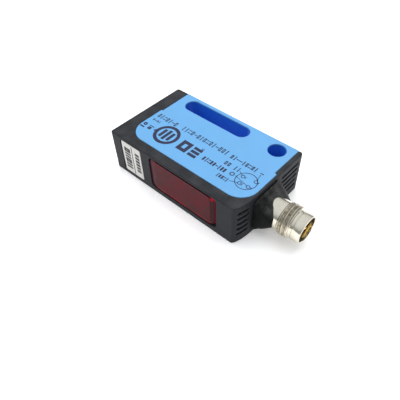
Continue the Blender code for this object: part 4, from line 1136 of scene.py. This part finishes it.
@dataclass
class RedWindowPiece:
    """The red window: a pad that slopes away at both ends, with a back plate behind the wall."""

    lug: float = 0.001
    corner: float = 0.0012
    rise: float = 0.0004
    top_rise: float = 0.0005
    pad_slope: float = 0.00165
    top_rim: float = 0.00030
    bottom_rim: float = 0.00045
    bend: float = 0.00016
    plate: float = 0.0008

    def opening(self) -> tuple:
        """Lowest and highest (x, z) of the pane in the frame's opening."""
        low, high = extent("front_window")
        return low[[0, 2]] + (self.lug, self.rise), high[[0, 2]] + (-self.lug, self.top_rise)

    def build(self) -> bpy.types.Object:
        """Builds, dresses and mounts the window.

        Every loop is the same rounded rectangle, stretched between corners that are drawn in by the amounts
        listed (at the start, the end, the bottom and the top), at the listed depth behind the front face.

        Returns:
            The window.
        """
        low, high = self.opening()
        back = extent("front_window")[1][1]
        plate_front = back - self.plate
        turn = np.linspace(0, np.pi / 2, 5)
        round_in = self.bend * (1 - np.sin(turn))
        ends, bottom, top = self.pad_slope, self.bottom_rim, self.top_rim
        rows = [(ends + r, ends + r, bottom + r, top + r, 0.6 * self.bend * (1 - math.cos(t)))
                for r, t in zip(round_in, turn)]
        rows += [(0.42 * ends, 0.64 * ends, 0.6 * bottom, top, 0.00020),
                 (0.02 * ends, 0.55 * ends, 0.5 * bottom, 0.95 * top, 0.00033),
                 (0.0, 0.06 * ends, 0.16 * bottom, 0.9 * top, 0.00070),
                 (0.0, 0.0, 0.0, 0.8 * top, 0.00100),
                 (0.0, 0.0, 0.0, 0.0, 0.00105), (0.0, 0.0, 0.0, 0.0, plate_front - 0.00002)]
        rows += [(-self.lug, -self.lug, 0.0, 0.0, plate_front), (-self.lug, -self.lug, 0.0, 0.0, back)]
        outlines = [rounded_rectangle(low + (row[0], row[2]), high - (row[1], row[3]), self.corner, 8)
                    for row in rows]
        window = lofted("red_window_pane", stacked(outlines, [row[4] for row in rows], Axis.Y))
        polish(window, 40.0)
        pad_low = CORNER[[0, 2]] + low + (self.pad_slope, self.bottom_rim)
        pad_high = CORNER[[0, 2]] + high - (self.pad_slope, self.top_rim)
        finish = RedWindow("red_acrylic", tuple(pad_low.tolist()), tuple(pad_high.tolist()), self.pad_slope)
        mount_piece(window, finish, ["front_window"], "front_window")
        return window


# --- Printing --------------------------------------------------------------

class PrintSheet:
    """Thin raised shapes of ink on one face of the body, joined in one piece."""

    def __init__(self, axis: Axis, face: float, thickness: float) -> None:
        """Starts with no shapes.

        Args:
            axis: the direction that the face looks along.
            face: the face's place along it, from the body's corner.
            thickness: height of the ink, below zero where the face looks down the axis.
        """
        self.axis = axis
        self.face = face
        self.thickness = thickness
        self.points: list = []
        self.faces: list = []
        self.count = 0

    def shape(self, outline: Array) -> None:
        """A filled outline."""
        number = len(outline)
        loops = stacked([outline, outline], [self.face, self.face + self.thickness], self.axis)
        faces = grid_faces(2, number)
        faces.append(list(range(number - 1, -1, -1)))
        faces.append(list(range(number, 2 * number)))
        self._keep(loops, faces)

    def ring(self, centre: Sequence[float], radius: float, stroke: float, steps: int = 48) -> None:
        """A circle drawn with a stroke.

        Args:
            centre: its centre on the face.
            radius: radius of the stroke's middle.
            stroke: width of the stroke.
            steps: steps in the turn.
        """
        self._band(circle(centre, radius + stroke / 2, steps), circle(centre, radius - stroke / 2, steps))

    def line(self, start: Sequence[float], end: Sequence[float], stroke: float) -> None:
        """A straight stroke."""
        start, end = np.array(start, float), np.array(end, float)
        along = (end - start) / np.linalg.norm(end - start) * stroke / 2
        across = np.array((-along[1], along[0]))
        self.shape(np.array([end + along + across, start - along + across, start - along - across,
                             end + along - across]))

    def frame(self, low: Sequence[float], high: Sequence[float], stroke: float) -> None:
        """A hollow rectangle drawn with a stroke."""
        outer = np.array(((low[0], low[1]), (high[0], low[1]), (high[0], high[1]), (low[0], high[1])))
        self._band(outer, inset(outer, stroke))

    def code_row(self, start: Sequence[float], cells: str, pitch: float, height: float,
                 stroke: float) -> None:
        """A row of plain marks that stands for a line of printing.

        Args:
            start: middle of the first cell.
            cells: one letter a cell: o a hollow box, i an upright, - a dash, = two dashes, a space a gap.
            pitch: distance between cells.
            height: height of a cell.
            stroke: width of the lines.
        """
        half_w, half_h = pitch * 0.33, height / 2
        for number, cell in enumerate(cells):
            x, y = start[0] + number * pitch, start[1]
            if cell == "o":
                self.frame((x - half_w, y - half_h), (x + half_w, y + half_h), stroke)
            elif cell == "i":
                self.line((x, y - half_h), (x, y + half_h), stroke)
            elif cell == "-":
                self.line((x - half_w, y), (x + half_w, y), stroke)
            elif cell == "=":
                for level in (y - half_h * 0.6, y + half_h * 0.6):
                    self.line((x - half_w, level), (x + half_w, level), stroke)

    def piece(self, name: str) -> bpy.types.Object:
        """All shapes as one object."""
        mesh = bpy.data.meshes.new(name)
        mesh.from_pydata(np.concatenate(self.points).tolist(), [], self.faces)
        shape = bmesh.new()
        shape.from_mesh(mesh)
        bmesh.ops.recalc_face_normals(shape, faces=shape.faces)
        shape.to_mesh(mesh)
        shape.free()
        return linked(name, mesh)

    def _band(self, outer: Array, inner: Array) -> None:
        """A raised band between two outlines of equal length."""
        top = self.face + self.thickness
        loops = stacked([outer, outer, inner, inner], [self.face, top, top, self.face], self.axis)
        self._keep(loops, grid_faces(4, len(outer), closed_rows=True))

    def _keep(self, loops: Array, faces: list) -> None:
        """Adds points and faces."""
        flat = loops.reshape(-1, 3)
        self.points.append(flat)
        self.faces.extend([index + self.count for index in face] for face in faces)
        self.count += len(flat)


@dataclass
class FacePrint:
    """Plain marks printed on the upper face, in place of lettering and test marks.

    Each of rows is the middle of its first cell, its cells, their pitch and height, and its stroke's share.
    """

    ink: float = 0.000012
    stroke: float = 0.00024
    block_stroke: float = 0.00100
    bar_stroke: float = 0.00088
    ring_stroke: float = 0.0009
    thin_share: float = 0.75
    bold_share: float = 1.8
    rows: Sequence[tuple] = (
        ((0.0134, 0.0127), "ii=o-oio=oi-ooi", 0.00099, 0.0015, 1.0),
        ((0.0050, 0.0125), "oi=oi-o", 0.00096, 0.0015, 1.0),
        ((0.0244, 0.0078), "oi=oo-ioo", 0.00078, 0.0013, 1.1),
        ((0.0291, 0.0125), "oi--io=oi", 0.00086, 0.0013, 1.0),
        ((0.0293, 0.0100), "oo ii", 0.00092, 0.0012, 1.0),
        ((0.0303, 0.0058), "ioo=i", 0.00066, 0.0011, 0.9),
        ((0.0050, 0.0104), "o-oi", 0.00066, 0.0007, 0.75))
    ring_centre: Sequence[float] = (0.01185, 0.0081)
    diagram_centre: Sequence[float] = (0.0364, 0.0083)
    contacts: Sequence[tuple] = ((0.0350, 0.0090), (0.0382, 0.0095), (0.0356, 0.0069), (0.0378, 0.0072))
    leader_ends: Sequence[tuple] = ((0.0335, 0.0098), (0.0377, 0.0119), (0.0334, 0.0060), (0.0336, 0.0081))

    def build(self) -> bpy.types.Object:
        """Builds, dresses and mounts the printing."""
        sheet = PrintSheet(Axis.Z, THICKNESS, self.ink)
        thin = self.stroke * self.thin_share
        for start, cells, pitch, height, share in self.rows:
            sheet.code_row(start, cells, pitch, height, self.stroke * share)
        self.ring_mark(sheet)
        self.block_mark(sheet)
        sheet.ring((0.0326, 0.0081), 0.00050, self.stroke, 24)
        self.plug_diagram(sheet, thin)
        self.side_marks(sheet, thin)
        made = sheet.piece("upper_face_print")
        mount_piece(made, PRINT_INK, [], "mounting_housing")
        return made

    def ring_mark(self, sheet: PrintSheet) -> None:
        """A broad ring round three bars."""
        x, y = self.ring_centre
        sheet.ring(self.ring_centre, 0.0030, self.ring_stroke, 72)
        for offset, reach in ((-0.0013, 0.0011), (0.0, 0.0015), (0.0013, 0.0011)):
            sheet.line((x + offset, y - reach), (x + offset, y + reach), 0.00085)

    def block_mark(self, sheet: PrintSheet) -> None:
        """A heavy frame beside three heavy bars."""
        sheet.frame((0.0166, 0.0061), (0.0196, 0.0097), self.block_stroke)
        for height in (0.0066, 0.00785, 0.0091):
            sheet.line((0.0207, height), (0.0223, height), self.bar_stroke)
        sheet.ring((0.0223, 0.0099), 0.00026, 0.00014, 20)

    def plug_diagram(self, sheet: PrintSheet, thin: float) -> None:
        """The plug's face: a circle with four contacts, each with its leader line."""
        sheet.ring(self.diagram_centre, 0.00255, thin, 72)
        for contact, end in zip(np.array(self.contacts), np.array(self.leader_ends)):
            sheet.ring(contact, 0.00042, thin, 20)
            direction = (end - contact) / np.linalg.norm(end - contact)
            sheet.line(contact + direction * 0.00048, end, thin * 0.8)
            sheet.line(contact + (0.0007, -0.00025), contact + (0.0007, 0.00025), thin)
        sheet.line((0.0374, 0.0124), (0.0381, 0.0124), self.stroke)

    def side_marks(self, sheet: PrintSheet, thin: float) -> None:
        """Small marks near the control end."""
        bold = self.stroke * self.bold_share
        sheet.ring((0.0046, 0.0078), 0.00036, bold, 24)
        sheet.line((0.0041, 0.0066), (0.0051, 0.0066), bold)
        sheet.frame((0.0061, 0.0067), (0.0071, 0.0077), bold)
        sheet.line((0.0060, 0.0081), (0.0073, 0.0081), self.stroke)
        sheet.line((0.0083, 0.0071), (0.0083, 0.0079), thin)
        sheet.line((0.0079, 0.0075), (0.0087, 0.0075), thin)


@dataclass
class Sticker:
    """White paper sticker on the front, with two columns of plain dark marks and a line between them."""

    ink: float = 0.000012
    rise: float = 0.0003
    corner: float = 0.0003
    paper_edge: float = 0.00002
    divider_stroke: float = 0.00028
    bold_half: float = 0.0011
    bold_gap: float = 0.00035
    bold_frame_stroke: float = 0.00064
    bar_stroke: float = 0.0006
    open_half: float = 0.00075
    open_gap: float = 0.0003
    open_stroke: float = 0.0004

    def build(self) -> None:
        """Builds, dresses and mounts the paper and its printing."""
        low, high = (corner + (0.0, 0.0, self.rise) for corner in extent("front_sticker"))
        outline = rounded_rectangle(low[[0, 2]], high[[0, 2]], self.corner, 4)
        paper = prism("paper_sticker", outline, low[1], high[1], Axis.Y, edge=self.paper_edge, steps=2)
        polish(paper)
        mount_piece(paper, STICKER_PAPER, ["front_sticker"], "front_sticker")
        sheet = PrintSheet(Axis.Y, low[1], -self.ink)
        split = (low[0] + high[0]) / 2
        divider = split + 0.0002
        sheet.line((divider, low[2] + 0.0004), (divider, high[2] - 0.0006), self.divider_stroke)
        self.bold_column(sheet, low[0] + 0.0018, low[2] + 0.0015, high[2] - 0.0012)
        self.open_column(sheet, split + 0.0020, low[2] + 0.0018, high[2] - 0.0014)
        mount_piece(sheet.piece("sticker_print"), STICKER_INK, [], "front_sticker")

    def bold_column(self, sheet: PrintSheet, x: float, low: float, high: float) -> None:
        """Pairs of heavy bars and heavy frames by turns, one above another.

        Args:
            sheet: the sheet to print on.
            x: middle of the column.
            low: foot of the lowest.
            high: top of the column.
        """
        left, right = x - self.bold_half, x + self.bold_half
        levels = np.linspace(low, high, 5)
        for number, (start, end) in enumerate(zip(levels[:-1], levels[1:] - self.bold_gap)):
            if number % 2:
                sheet.frame((left, start), (right, end), self.bold_frame_stroke)
                continue
            sixth = (end - start) / 6
            half_stroke = self.bar_stroke / 2
            for height in (start + sixth, end - sixth):
                sheet.line((left + half_stroke, height), (right - half_stroke, height), self.bar_stroke)

    def open_column(self, sheet: PrintSheet, x: float, low: float, high: float) -> None:
        """Open frames one above another, placed as bold_column's."""
        levels = np.linspace(low, high, 7)
        for start, end in zip(levels[:-1], levels[1:] - self.open_gap):
            sheet.frame((x - self.open_half, start), (x + self.open_half, end), self.open_stroke)


# --- Controls --------------------------------------------------------------

class KnobMark(Enum):
    """What is cut into a knob's face."""

    SLOT = "slot"
    ARROW = "arrow"


@dataclass
class Knob:
    """A knob in the control end, turned with a screwdriver."""

    node: str
    body: str
    name: str
    mark: KnobMark
    edge: float = 0.00018
    slot_width: float = 0.0005
    slot_depth: float = 0.0006
    shaft_radius: float = 0.0010
    head_depth: float = 0.0020
    arrow_half: float = 0.00095
    arrow_reach: float = 0.00135
    arrow_stem: float = 0.0012
    cut_edge: float = 0.00004

    def build(self) -> bpy.types.Object:
        """Turns the knob, cuts its mark, dresses and mounts it."""
        start, end, centre, radius = round_extent(self.node)
        head_end = start + self.head_depth
        t = np.linspace(np.pi / 2, 0, 5)
        rim = np.stack([start + self.edge * (1 - np.sin(t)), radius - self.edge * (1 - np.cos(t))], axis=1)
        profile = np.concatenate([
            [(start, 0.0)], rim, [(head_end, radius), (head_end, self.shaft_radius), (end, self.shaft_radius),
                                  (end, 0.0)]])
        knob = turned(self.name, profile, centre, 64)
        tools = [self.slot_tool(start, centre, radius)]
        if self.mark is KnobMark.ARROW:
            y, z = centre
            tip = np.array([(y - self.arrow_half, z), (y + self.arrow_half, z), (y, z + self.arrow_reach)])
            tools.append(prism("arrow_tool", tip, start - OVERCUT, start + self.slot_depth, Axis.X))
        carve(knob, *tools)
        ease_edges(knob, self.cut_edge)
        polish(knob)
        mount_piece(knob, KNOB_PLASTIC, [self.node], self.node, self.body)
        return knob

    def slot_tool(self, face: float, centre: Sequence[float], radius: float) -> bpy.types.Object:
        """The screwdriver slot: right across for a plain slot, short of the rim below an arrow."""
        y, z = centre
        half = self.slot_width / 2
        above, below = radius + OVERCUT, radius + OVERCUT
        if self.mark is KnobMark.ARROW:
            above, below = 0.0001, self.arrow_stem
        return block("slot_tool", (face - OVERCUT, y - half, z - below),
                     (face + self.slot_depth, y + half, z + above))


@dataclass
class ControlEnd:
    """Knobs, light guides and the printing round them."""

    ink: float = 0.000012
    scale_radius: float = 0.00208
    stroke: float = 0.00014
    dome: float = 0.00012
    sign_side: float = 0.0011
    sign_drop: float = 0.0030
    sign_half: float = 0.0003
    light_mark: Sequence[float] = (0.0, 0.0029)
    dark_mark: Sequence[float] = (0.00244, 0.0)
    lamp_ring: float = 0.0012

    def guide(self, node: str, name: str, finish: ClearResin) -> None:
        """A light guide with a slightly domed end."""
        start, end, centre, radius = round_extent(node)
        r = np.linspace(0, radius, 9)
        dome = np.stack([start + self.dome * (r / radius) ** 2, r], axis=1)
        profile = np.concatenate([dome, [(end, radius), (end, 0.0)]])
        piece = turned(name, profile, centre, 40)
        polish(piece, 40.0)
        mount_piece(piece, finish, [node], node)

    def printing(self) -> None:
        """A scale round the adjuster, light and dark marks round the selector, and marks by the lamps."""
        sheet = PrintSheet(Axis.X, 0.0, -self.ink)
        adjuster, selector = (round_extent(node)[2] for node in ("sensitivity_adjuster", "mode_selector"))
        angles = np.radians(np.linspace(-45, 225, 28))
        ring = adjuster + self.scale_radius * np.stack([np.cos(angles), np.sin(angles)], axis=1)
        for start, end in zip(ring[:-1], ring[1:]):
            sheet.line(start, end, self.stroke)
        minus, plus = (adjuster + (side * self.sign_side, -self.sign_drop) for side in (-1, 1))
        for foot in (minus, plus):
            sheet.line(foot - (self.sign_half, 0.0), foot + (self.sign_half, 0.0), self.stroke)
        sheet.line(plus - (0.0, self.sign_half), plus + (0.0, self.sign_half), self.stroke)
        sheet.ring(selector + self.light_mark, 0.0004, self.stroke, 24)
        sheet.shape(circle(selector + self.dark_mark, 0.0003, 24))
        for node in ("power_light_guide", "output_light_guide"):
            sheet.ring(round_extent(node)[2], self.lamp_ring, self.stroke, 32)
        mount_piece(sheet.piece("control_end_print"), PANEL_INK, [], "front_frame")

    def build(self) -> None:
        """Builds both knobs, both guides and the printing."""
        Knob("sensitivity_adjuster", "adjuster_knob", "sensitivity_knob", KnobMark.SLOT).build()
        Knob("mode_selector", "selector_knob", "light_dark_knob", KnobMark.ARROW).build()
        self.guide("power_light_guide", "green_light_guide", GUIDE_GREEN)
        self.guide("output_light_guide", "yellow_light_guide", GUIDE_YELLOW)
        self.printing()


# --- Plug ------------------------------------------------------------------

@dataclass
class Plug:
    """Black boot, nickel-plated M8 plug and pins, on the connector end.

    Lengths along X are from the connector end.  Each of sections is a station of the boot: its place, how far
    its sides and its top and bottom are drawn in, and the power of its outline.
    """

    boot_reach: float = 0.0045
    collar_start: float = 0.0021
    collar_radius: float = 0.00365
    ridge_radius: float = 0.00388
    ridge: float = 0.0057
    thread_start: float = 0.0060
    thread_end: float = 0.0080
    thread_radius: float = 0.0040
    root_radius: float = 0.00378
    pitch: float = 0.0010
    sleeve_start: float = 0.0091
    sleeve_radius: float = 0.0036
    neck_radius: float = 0.00346
    bore_radius: float = 0.0031
    bore_floor: float = 0.0055
    tail_radius: float = 0.0030
    tail_start: float = -0.0012
    insert_bore: float = 0.0024
    spigot: float = 0.0072
    spigot_tail: float = 0.0026
    insert_seat: float = 0.0013
    thread_step: float = 0.00004
    tip_edge: float = 0.00016
    shell_steps: int = 128
    sections: Sequence[tuple] = (
        (0.00012, 0.00022, 0.00022, 16.0), (0.00018, 0.00008, 0.00008, 16.0), (0.00030, 0.0, 0.0, 16.0),
        (0.00120, 0.00008, 0.00074, 11.0), (0.00136, 0.00010, 0.00086, 8.0), (0.00180, 0.00011, 0.00104, 6.5),
        (0.00240, 0.00012, 0.00129, 5.0), (0.00290, 0.00020, 0.00158, 4.2), (0.00340, 0.00034, 0.00179, 3.4),
        (0.00385, 0.00050, 0.00208, 2.9), (0.00430, 0.00066, 0.00247, 2.8), (0.00448, 0.00072, 0.00280, 2.8),
        (0.00453, 0.00080, 0.00290, 2.8))

    def __post_init__(self) -> None:
        """Finds the plug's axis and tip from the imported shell."""
        _, end, self.axis, _ = round_extent("connector_shell")
        self.tip = end - LENGTH

    def squircle(self, half_y: float, half_z: float, power: float, steps: int = 144) -> Array:
        """A superellipse round the plug's axis, at equal steps of angle.

        Its radius is (|cos t / a|^n + |sin t / b|^n)^(-1/n), which goes from a rectangle at a high power n to
        an ellipse at 2.

        Args:
            half_y: half its width, a.
            half_z: half its height, b.
            power: n.
            steps: number of points.

        Returns:
            The points, as (y, z) from the body's corner.
        """
        angle = np.linspace(0, 2 * np.pi, steps, endpoint=False)
        terms = np.abs(np.cos(angle) / half_y) ** power + np.abs(np.sin(angle) / half_z) ** power
        radius = terms ** (-1 / power)
        return self.axis + np.stack([radius * np.cos(angle), radius * np.sin(angle)], axis=1)

    def boot(self) -> None:
        """The boot: its top and bottom dip below the collar, so that two cheeks run on beside it."""
        low, high = extent("connector_boot")
        half_y, half_z = ((high - low) / 2)[1:]
        keys = np.array(self.sections)
        stations = np.unique(np.concatenate([keys[:, 0], np.linspace(0.0014, 0.0044, 22)]))
        side, top, power = (np.interp(stations, keys[:, 0], keys[:, column]) for column in (1, 2, 3))
        outlines = [self.squircle(*size) for size in zip(half_y - side, half_z - top, power)]
        boot = lofted("boot_moulding", stacked(outlines, LENGTH + stations, Axis.X))
        half = self.spigot / 2
        spigot = block("spigot_tool", (LENGTH - self.spigot_tail, *(self.axis - half)),
                       (LENGTH + 0.0003, *(self.axis + half)))
        carve(boot, spigot, operation="UNION")
        carve(boot,
              rod("tail_tool", self.axis, self.tail_radius + 0.0001, LENGTH - 0.004, LENGTH + 0.004),
              rod("collar_tool", self.axis, self.collar_radius + 0.00003, LENGTH + self.collar_start - 0.0001,
                  LENGTH + self.boot_reach + OVERCUT, 128))
        polish(boot, 35.0)
        mount_piece(boot, BOOT_PLASTIC, ["connector_boot"], "connector_boot")

    def thread(self, x: Array, steps: int) -> Array:
        """Radii of the threaded stretch for rows x and equal steps of turn.

        The height of the thread is a clipped triangle wave of x / pitch - t / (2 pi), faded out over a third
        of a pitch at both ends.

        Args:
            x: places along the axis, from the connector end.
            steps: steps in the turn.

        Returns:
            An array of radii, a row for each place.
        """
        turn = np.linspace(0, 1, steps, endpoint=False)[None, :]
        phase = (x[:, None] / self.pitch - turn) % 1.0
        wave = np.clip(1.9 * (1 - np.abs(2 * phase - 1)) - 0.35, 0.0, 1.0)
        fade_in = np.clip((x[:, None] - self.thread_start) / (self.pitch / 3), 0, 1)
        fade_out = np.clip((self.thread_end + 0.0003 - x[:, None]) / (self.pitch / 3), 0, 1)
        return self.root_radius + (self.thread_radius - self.root_radius) * wave * fade_in * fade_out

    def shell(self) -> None:
        """The metal body: outer profile with its helical thread, then the bore and the tail, as one loop."""
        edge, tip, steps = self.tip_edge, self.tip, self.shell_steps
        collar, crest, root = self.collar_radius, self.ridge_radius, self.root_radius
        neck, sleeve, bore = self.neck_radius, self.sleeve_radius, self.bore_radius
        insert_end = self.bore_floor - self.insert_seat
        thread_rows = np.arange(self.thread_start, self.thread_end + 0.0004, self.thread_step)
        ridge = np.array([
            (-0.00030, collar), (-0.00026, collar + 0.00002), (-0.0001, crest - 0.00003), (-0.00005, crest),
            (0.0001, crest), (0.00015, crest - 0.00003), (0.00024, root + 0.00003), (0.00028, root)])
        rim = np.array([
            (-0.00008, neck), (-0.00004, neck - 0.00008), (0.00004, neck - 0.00008),
            (0.0001, sleeve - 0.00006), (0.0002, sleeve)])
        before = np.concatenate([
            [(self.tail_start, self.insert_bore), (self.tail_start, self.tail_radius),
             (self.collar_start, self.tail_radius), (self.collar_start, collar - 0.0001),
             (self.collar_start + 0.0001, collar)],
            ridge + (self.ridge, 0.0)])
        after = np.concatenate([
            [(self.thread_end + 0.00045, neck + 0.00004), (self.thread_end + 0.0006, neck)],
            rim + (self.sleeve_start, 0.0),
            [(tip - edge, sleeve), (tip - edge * 0.3, sleeve - edge * 0.3), (tip, sleeve - edge),
             (tip, bore + 0.0001), (tip - 0.0001, bore), (self.bore_floor, bore), (insert_end, bore),
             (insert_end, self.insert_bore)]])
        plain_before = np.broadcast_to(before[:, 1:], (len(before), steps))
        plain_after = np.broadcast_to(after[:, 1:], (len(after), steps))
        radii = np.concatenate([plain_before, self.thread(thread_rows, steps), plain_after])
        x = np.concatenate([before[:, 0], thread_rows, after[:, 0]]) + LENGTH
        shell = turned("nickel_plug_shell", np.stack([x, radii[:, 0]], axis=1), self.axis, steps, radii, True)
        polish(shell, 40.0)
        centre = CORNER[1:] + self.axis
        start = float(CORNER[0] + LENGTH)
        # The nickel is given painted shade on its faces that look down.
        finish = Plate("nickel_plate", NICKEL_COLOUR, 0.22, grime_amount=0.95, painted_underside_shade=NICKEL_PAINTED_SHADE,
                       grime_span=(start + self.ridge + 0.0002, start + self.thread_end),
                       grime_radius=(self.thread_radius - 0.00009, self.thread_radius + 0.00012),
                       axis=(float(centre[0]), float(centre[1])))
        mount_piece(shell, finish, ["connector_shell"], "connector_shell")

    def pins(self) -> None:
        """Four pins with round tips."""
        for number in range(1, 5):
            node = f"contact_pin_{number}"
            start, end, centre, radius = round_extent(node)
            t = np.linspace(0, np.pi / 2, 8)
            tip = np.stack([end - radius * (1 - np.sin(t)), radius * np.cos(t)], axis=1)
            profile = np.concatenate([[(start, 0.0), (start, radius)], tip])
            pin = turned(f"gold_pin_{number}", profile, centre, 32)
            polish(pin, 40.0)
            mount_piece(pin, GOLD, [node], node)

    def build(self) -> None:
        """Builds boot, shell and pins."""
        self.boot()
        self.shell()
        self.pins()


# --- Inner parts and studio ------------------------------------------------

@dataclass
class InnerParts:
    """Carried-over CAD nodes inside the housing, each with its finish."""

    def finishes(self) -> dict:
        """Finish of each node by name."""
        table = {
            "window_gasket": FOAM, "optics_carrier": INSERT_PLASTIC, "connector_insert": INSERT_PLASTIC,
            "emitter_polariser": FILTER_FILM, "receiver_polariser": FILTER_FILM, "emitter_lens": CLEAR_LENS,
            "receiver_lens": CLEAR_LENS, "emitter_led": LAMP_RED, "receiver_photodiode": DIODE_RESIN,
            "optics_board": BOARD, "main_circuit_board": BOARD, "receiver_shield": TIN,
            "evaluation_chip": CHIP_RESIN, "voltage_regulator": CHIP_RESIN, "output_driver": CHIP_RESIN,
            "filter_capacitor": CAPACITOR_RESIN, "adjuster_base": CONTROL_HOUSING,
            "selector_base": CONTROL_HOUSING, "adjuster_seal": SEAL_RUBBER, "selector_seal": SEAL_RUBBER,
            "power_indicator": LAMP_GREEN, "output_indicator": LAMP_YELLOW}
        table.update({f"lead_wire_{number}": finish for number, finish in enumerate(WIRE_FINISHES, 1)})
        return table

    def build(self) -> None:
        """Dresses the nodes where they are."""
        for name, finish in self.finishes().items():
            dress(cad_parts[name], finish)
            LOG.info("%s: carried over", name)


@dataclass
class Studio:
    """Pale floor, soft light and the camera.

    Angles are in degrees.  Each of boxes is a soft box: its name, place, side and power in watts.
    """

    azimuth: float = 42.093
    elevation: float = 48.526
    roll: float = -0.871
    distance: float = 0.1032
    target: Sequence[float] = (0.000248, -0.006034, 0.0)
    lens: float = 37.05
    shift: Sequence[float] = (-0.0156, 0.0006)
    bright_side: Sequence[float] = (-0.45, 0.10, 0.887)
    dim: float = 0.16
    bright: float = 0.84
    low_sky: float = 0.40
    floor_half: float = 3.0
    floor_glow: float = 0.25
    boxes: Sequence[tuple] = (
        ("top_box", (-0.08, 0.05, 0.6), 0.6, 2.5), ("left_box", (-0.5, -0.3, 0.35), 0.4, 0.35),
        ("back_box", (-0.05, 0.5, 0.35), 0.4, 0.6))

    def camera(self) -> None:
        """Places the camera on a sphere round its target, with a slight roll."""
        around, up = math.radians(self.azimuth), math.radians(self.elevation)
        back = Vector((math.sin(around) * math.cos(up), -math.cos(around) * math.cos(up), math.sin(up)))
        level = Vector((math.cos(around), math.sin(around), 0.0))
        upright = back.cross(level)
        turn = math.radians(self.roll)
        right = level * math.cos(turn) + upright * math.sin(turn)
        top = upright * math.cos(turn) - level * math.sin(turn)
        data = bpy.data.cameras.new("camera")
        data.lens = self.lens
        data.sensor_width = 36.0
        data.shift_x, data.shift_y = self.shift
        data.clip_start = 0.001
        data.dof.use_dof = False
        camera = linked("camera", data)
        place = Vector(self.target) + back * self.distance
        rotation = Matrix((right, top, back)).transposed().to_4x4()
        camera.matrix_world = Matrix.Translation(place) @ rotation
        bpy.context.scene.camera = camera

    def floor(self) -> None:
        """A white floor, far larger than the view."""
        half = self.floor_half
        points = [(-half, -half, 0), (half, -half, 0), (half, half, 0), (-half, half, 0)]
        mesh = bpy.data.meshes.new("studio_floor")
        mesh.from_pydata(points, [], [(0, 1, 2, 3)])
        floor = linked("studio_floor", mesh)
        material, sheet, shader = blank_material("studio_floor")
        place = sheet.place()
        shade = sheet.mix(sheet.noise(place, 30.0), (0.93, 0.93, 0.93), (0.95, 0.95, 0.95))
        sheet.put(shader.inputs["Base Color"], shade)
        shader.inputs["Roughness"].default_value = 0.8
        shader.inputs["Emission Color"].default_value = WHITE
        shader.inputs["Emission Strength"].default_value = self.floor_glow
        mesh.materials.append(material)

    def lamp(self, name: str, place: Sequence[float], size: float, power: float) -> None:
        """A square soft box that faces the sensor and that no surface mirrors.

        Args:
            name: the lamp's name.
            place: its middle.
            size: its side.
            power: in watts.
        """
        data = bpy.data.lights.new(name, "AREA")
        data.size = size
        data.energy = power
        lamp = linked(name, data)
        lamp.location = place
        lamp.rotation_euler = (-Vector(place)).to_track_quat("-Z", "Y").to_euler()
        lamp.visible_glossy = False

    def surround(self) -> None:
        """A surround that is bright above and to the left, and darkens smoothly to the right and low down."""
        world = bpy.data.worlds.new("studio")
        bpy.context.scene.world = world
        world.use_nodes = True
        sheet = Sheet(world.node_tree)
        direction = sheet.add("ShaderNodeTexCoord").outputs["Generated"]
        product = sheet.add("ShaderNodeVectorMath", operation="DOT_PRODUCT")
        sheet.put(product.inputs[0], direction)
        product.inputs[1].default_value = self.bright_side
        level = sheet.ramp(product.outputs["Value"], -0.45, 0.95, self.dim, self.bright)
        height = sheet.split(direction)[2]
        level = sheet.times(level, sheet.ramp(height, 0.10, 0.45, self.low_sky, 1.0))
        background = world.node_tree.nodes["Background"]
        background.inputs["Color"].default_value = (0.95, 0.975, 1.0, 1.0)
        sheet.put(background.inputs["Strength"], level)

    def light(self) -> None:
        """The surround, with soft boxes above, to the left and behind that no surface mirrors."""
        self.surround()
        for box in self.boxes:
            self.lamp(*box)
        bpy.context.scene.view_settings.view_transform = "Standard"

    def build(self) -> None:
        """Sets up the studio."""
        self.camera()
        self.floor()
        self.light()


def main() -> None:
    """Builds the sensor's sub-assemblies in order, and the studio round them."""
    logging.basicConfig(level=logging.INFO, format="%(message)s")
    Studio().build()
    layout = Layout()
    MountingHousing(layout).build()
    WrapFrame(layout).build()
    RedWindowPiece().build()
    FacePrint().build()
    Sticker().build()
    ControlEnd().build()
    Plug().build()
    InnerParts().build()


if __name__ == "__main__":
    main()
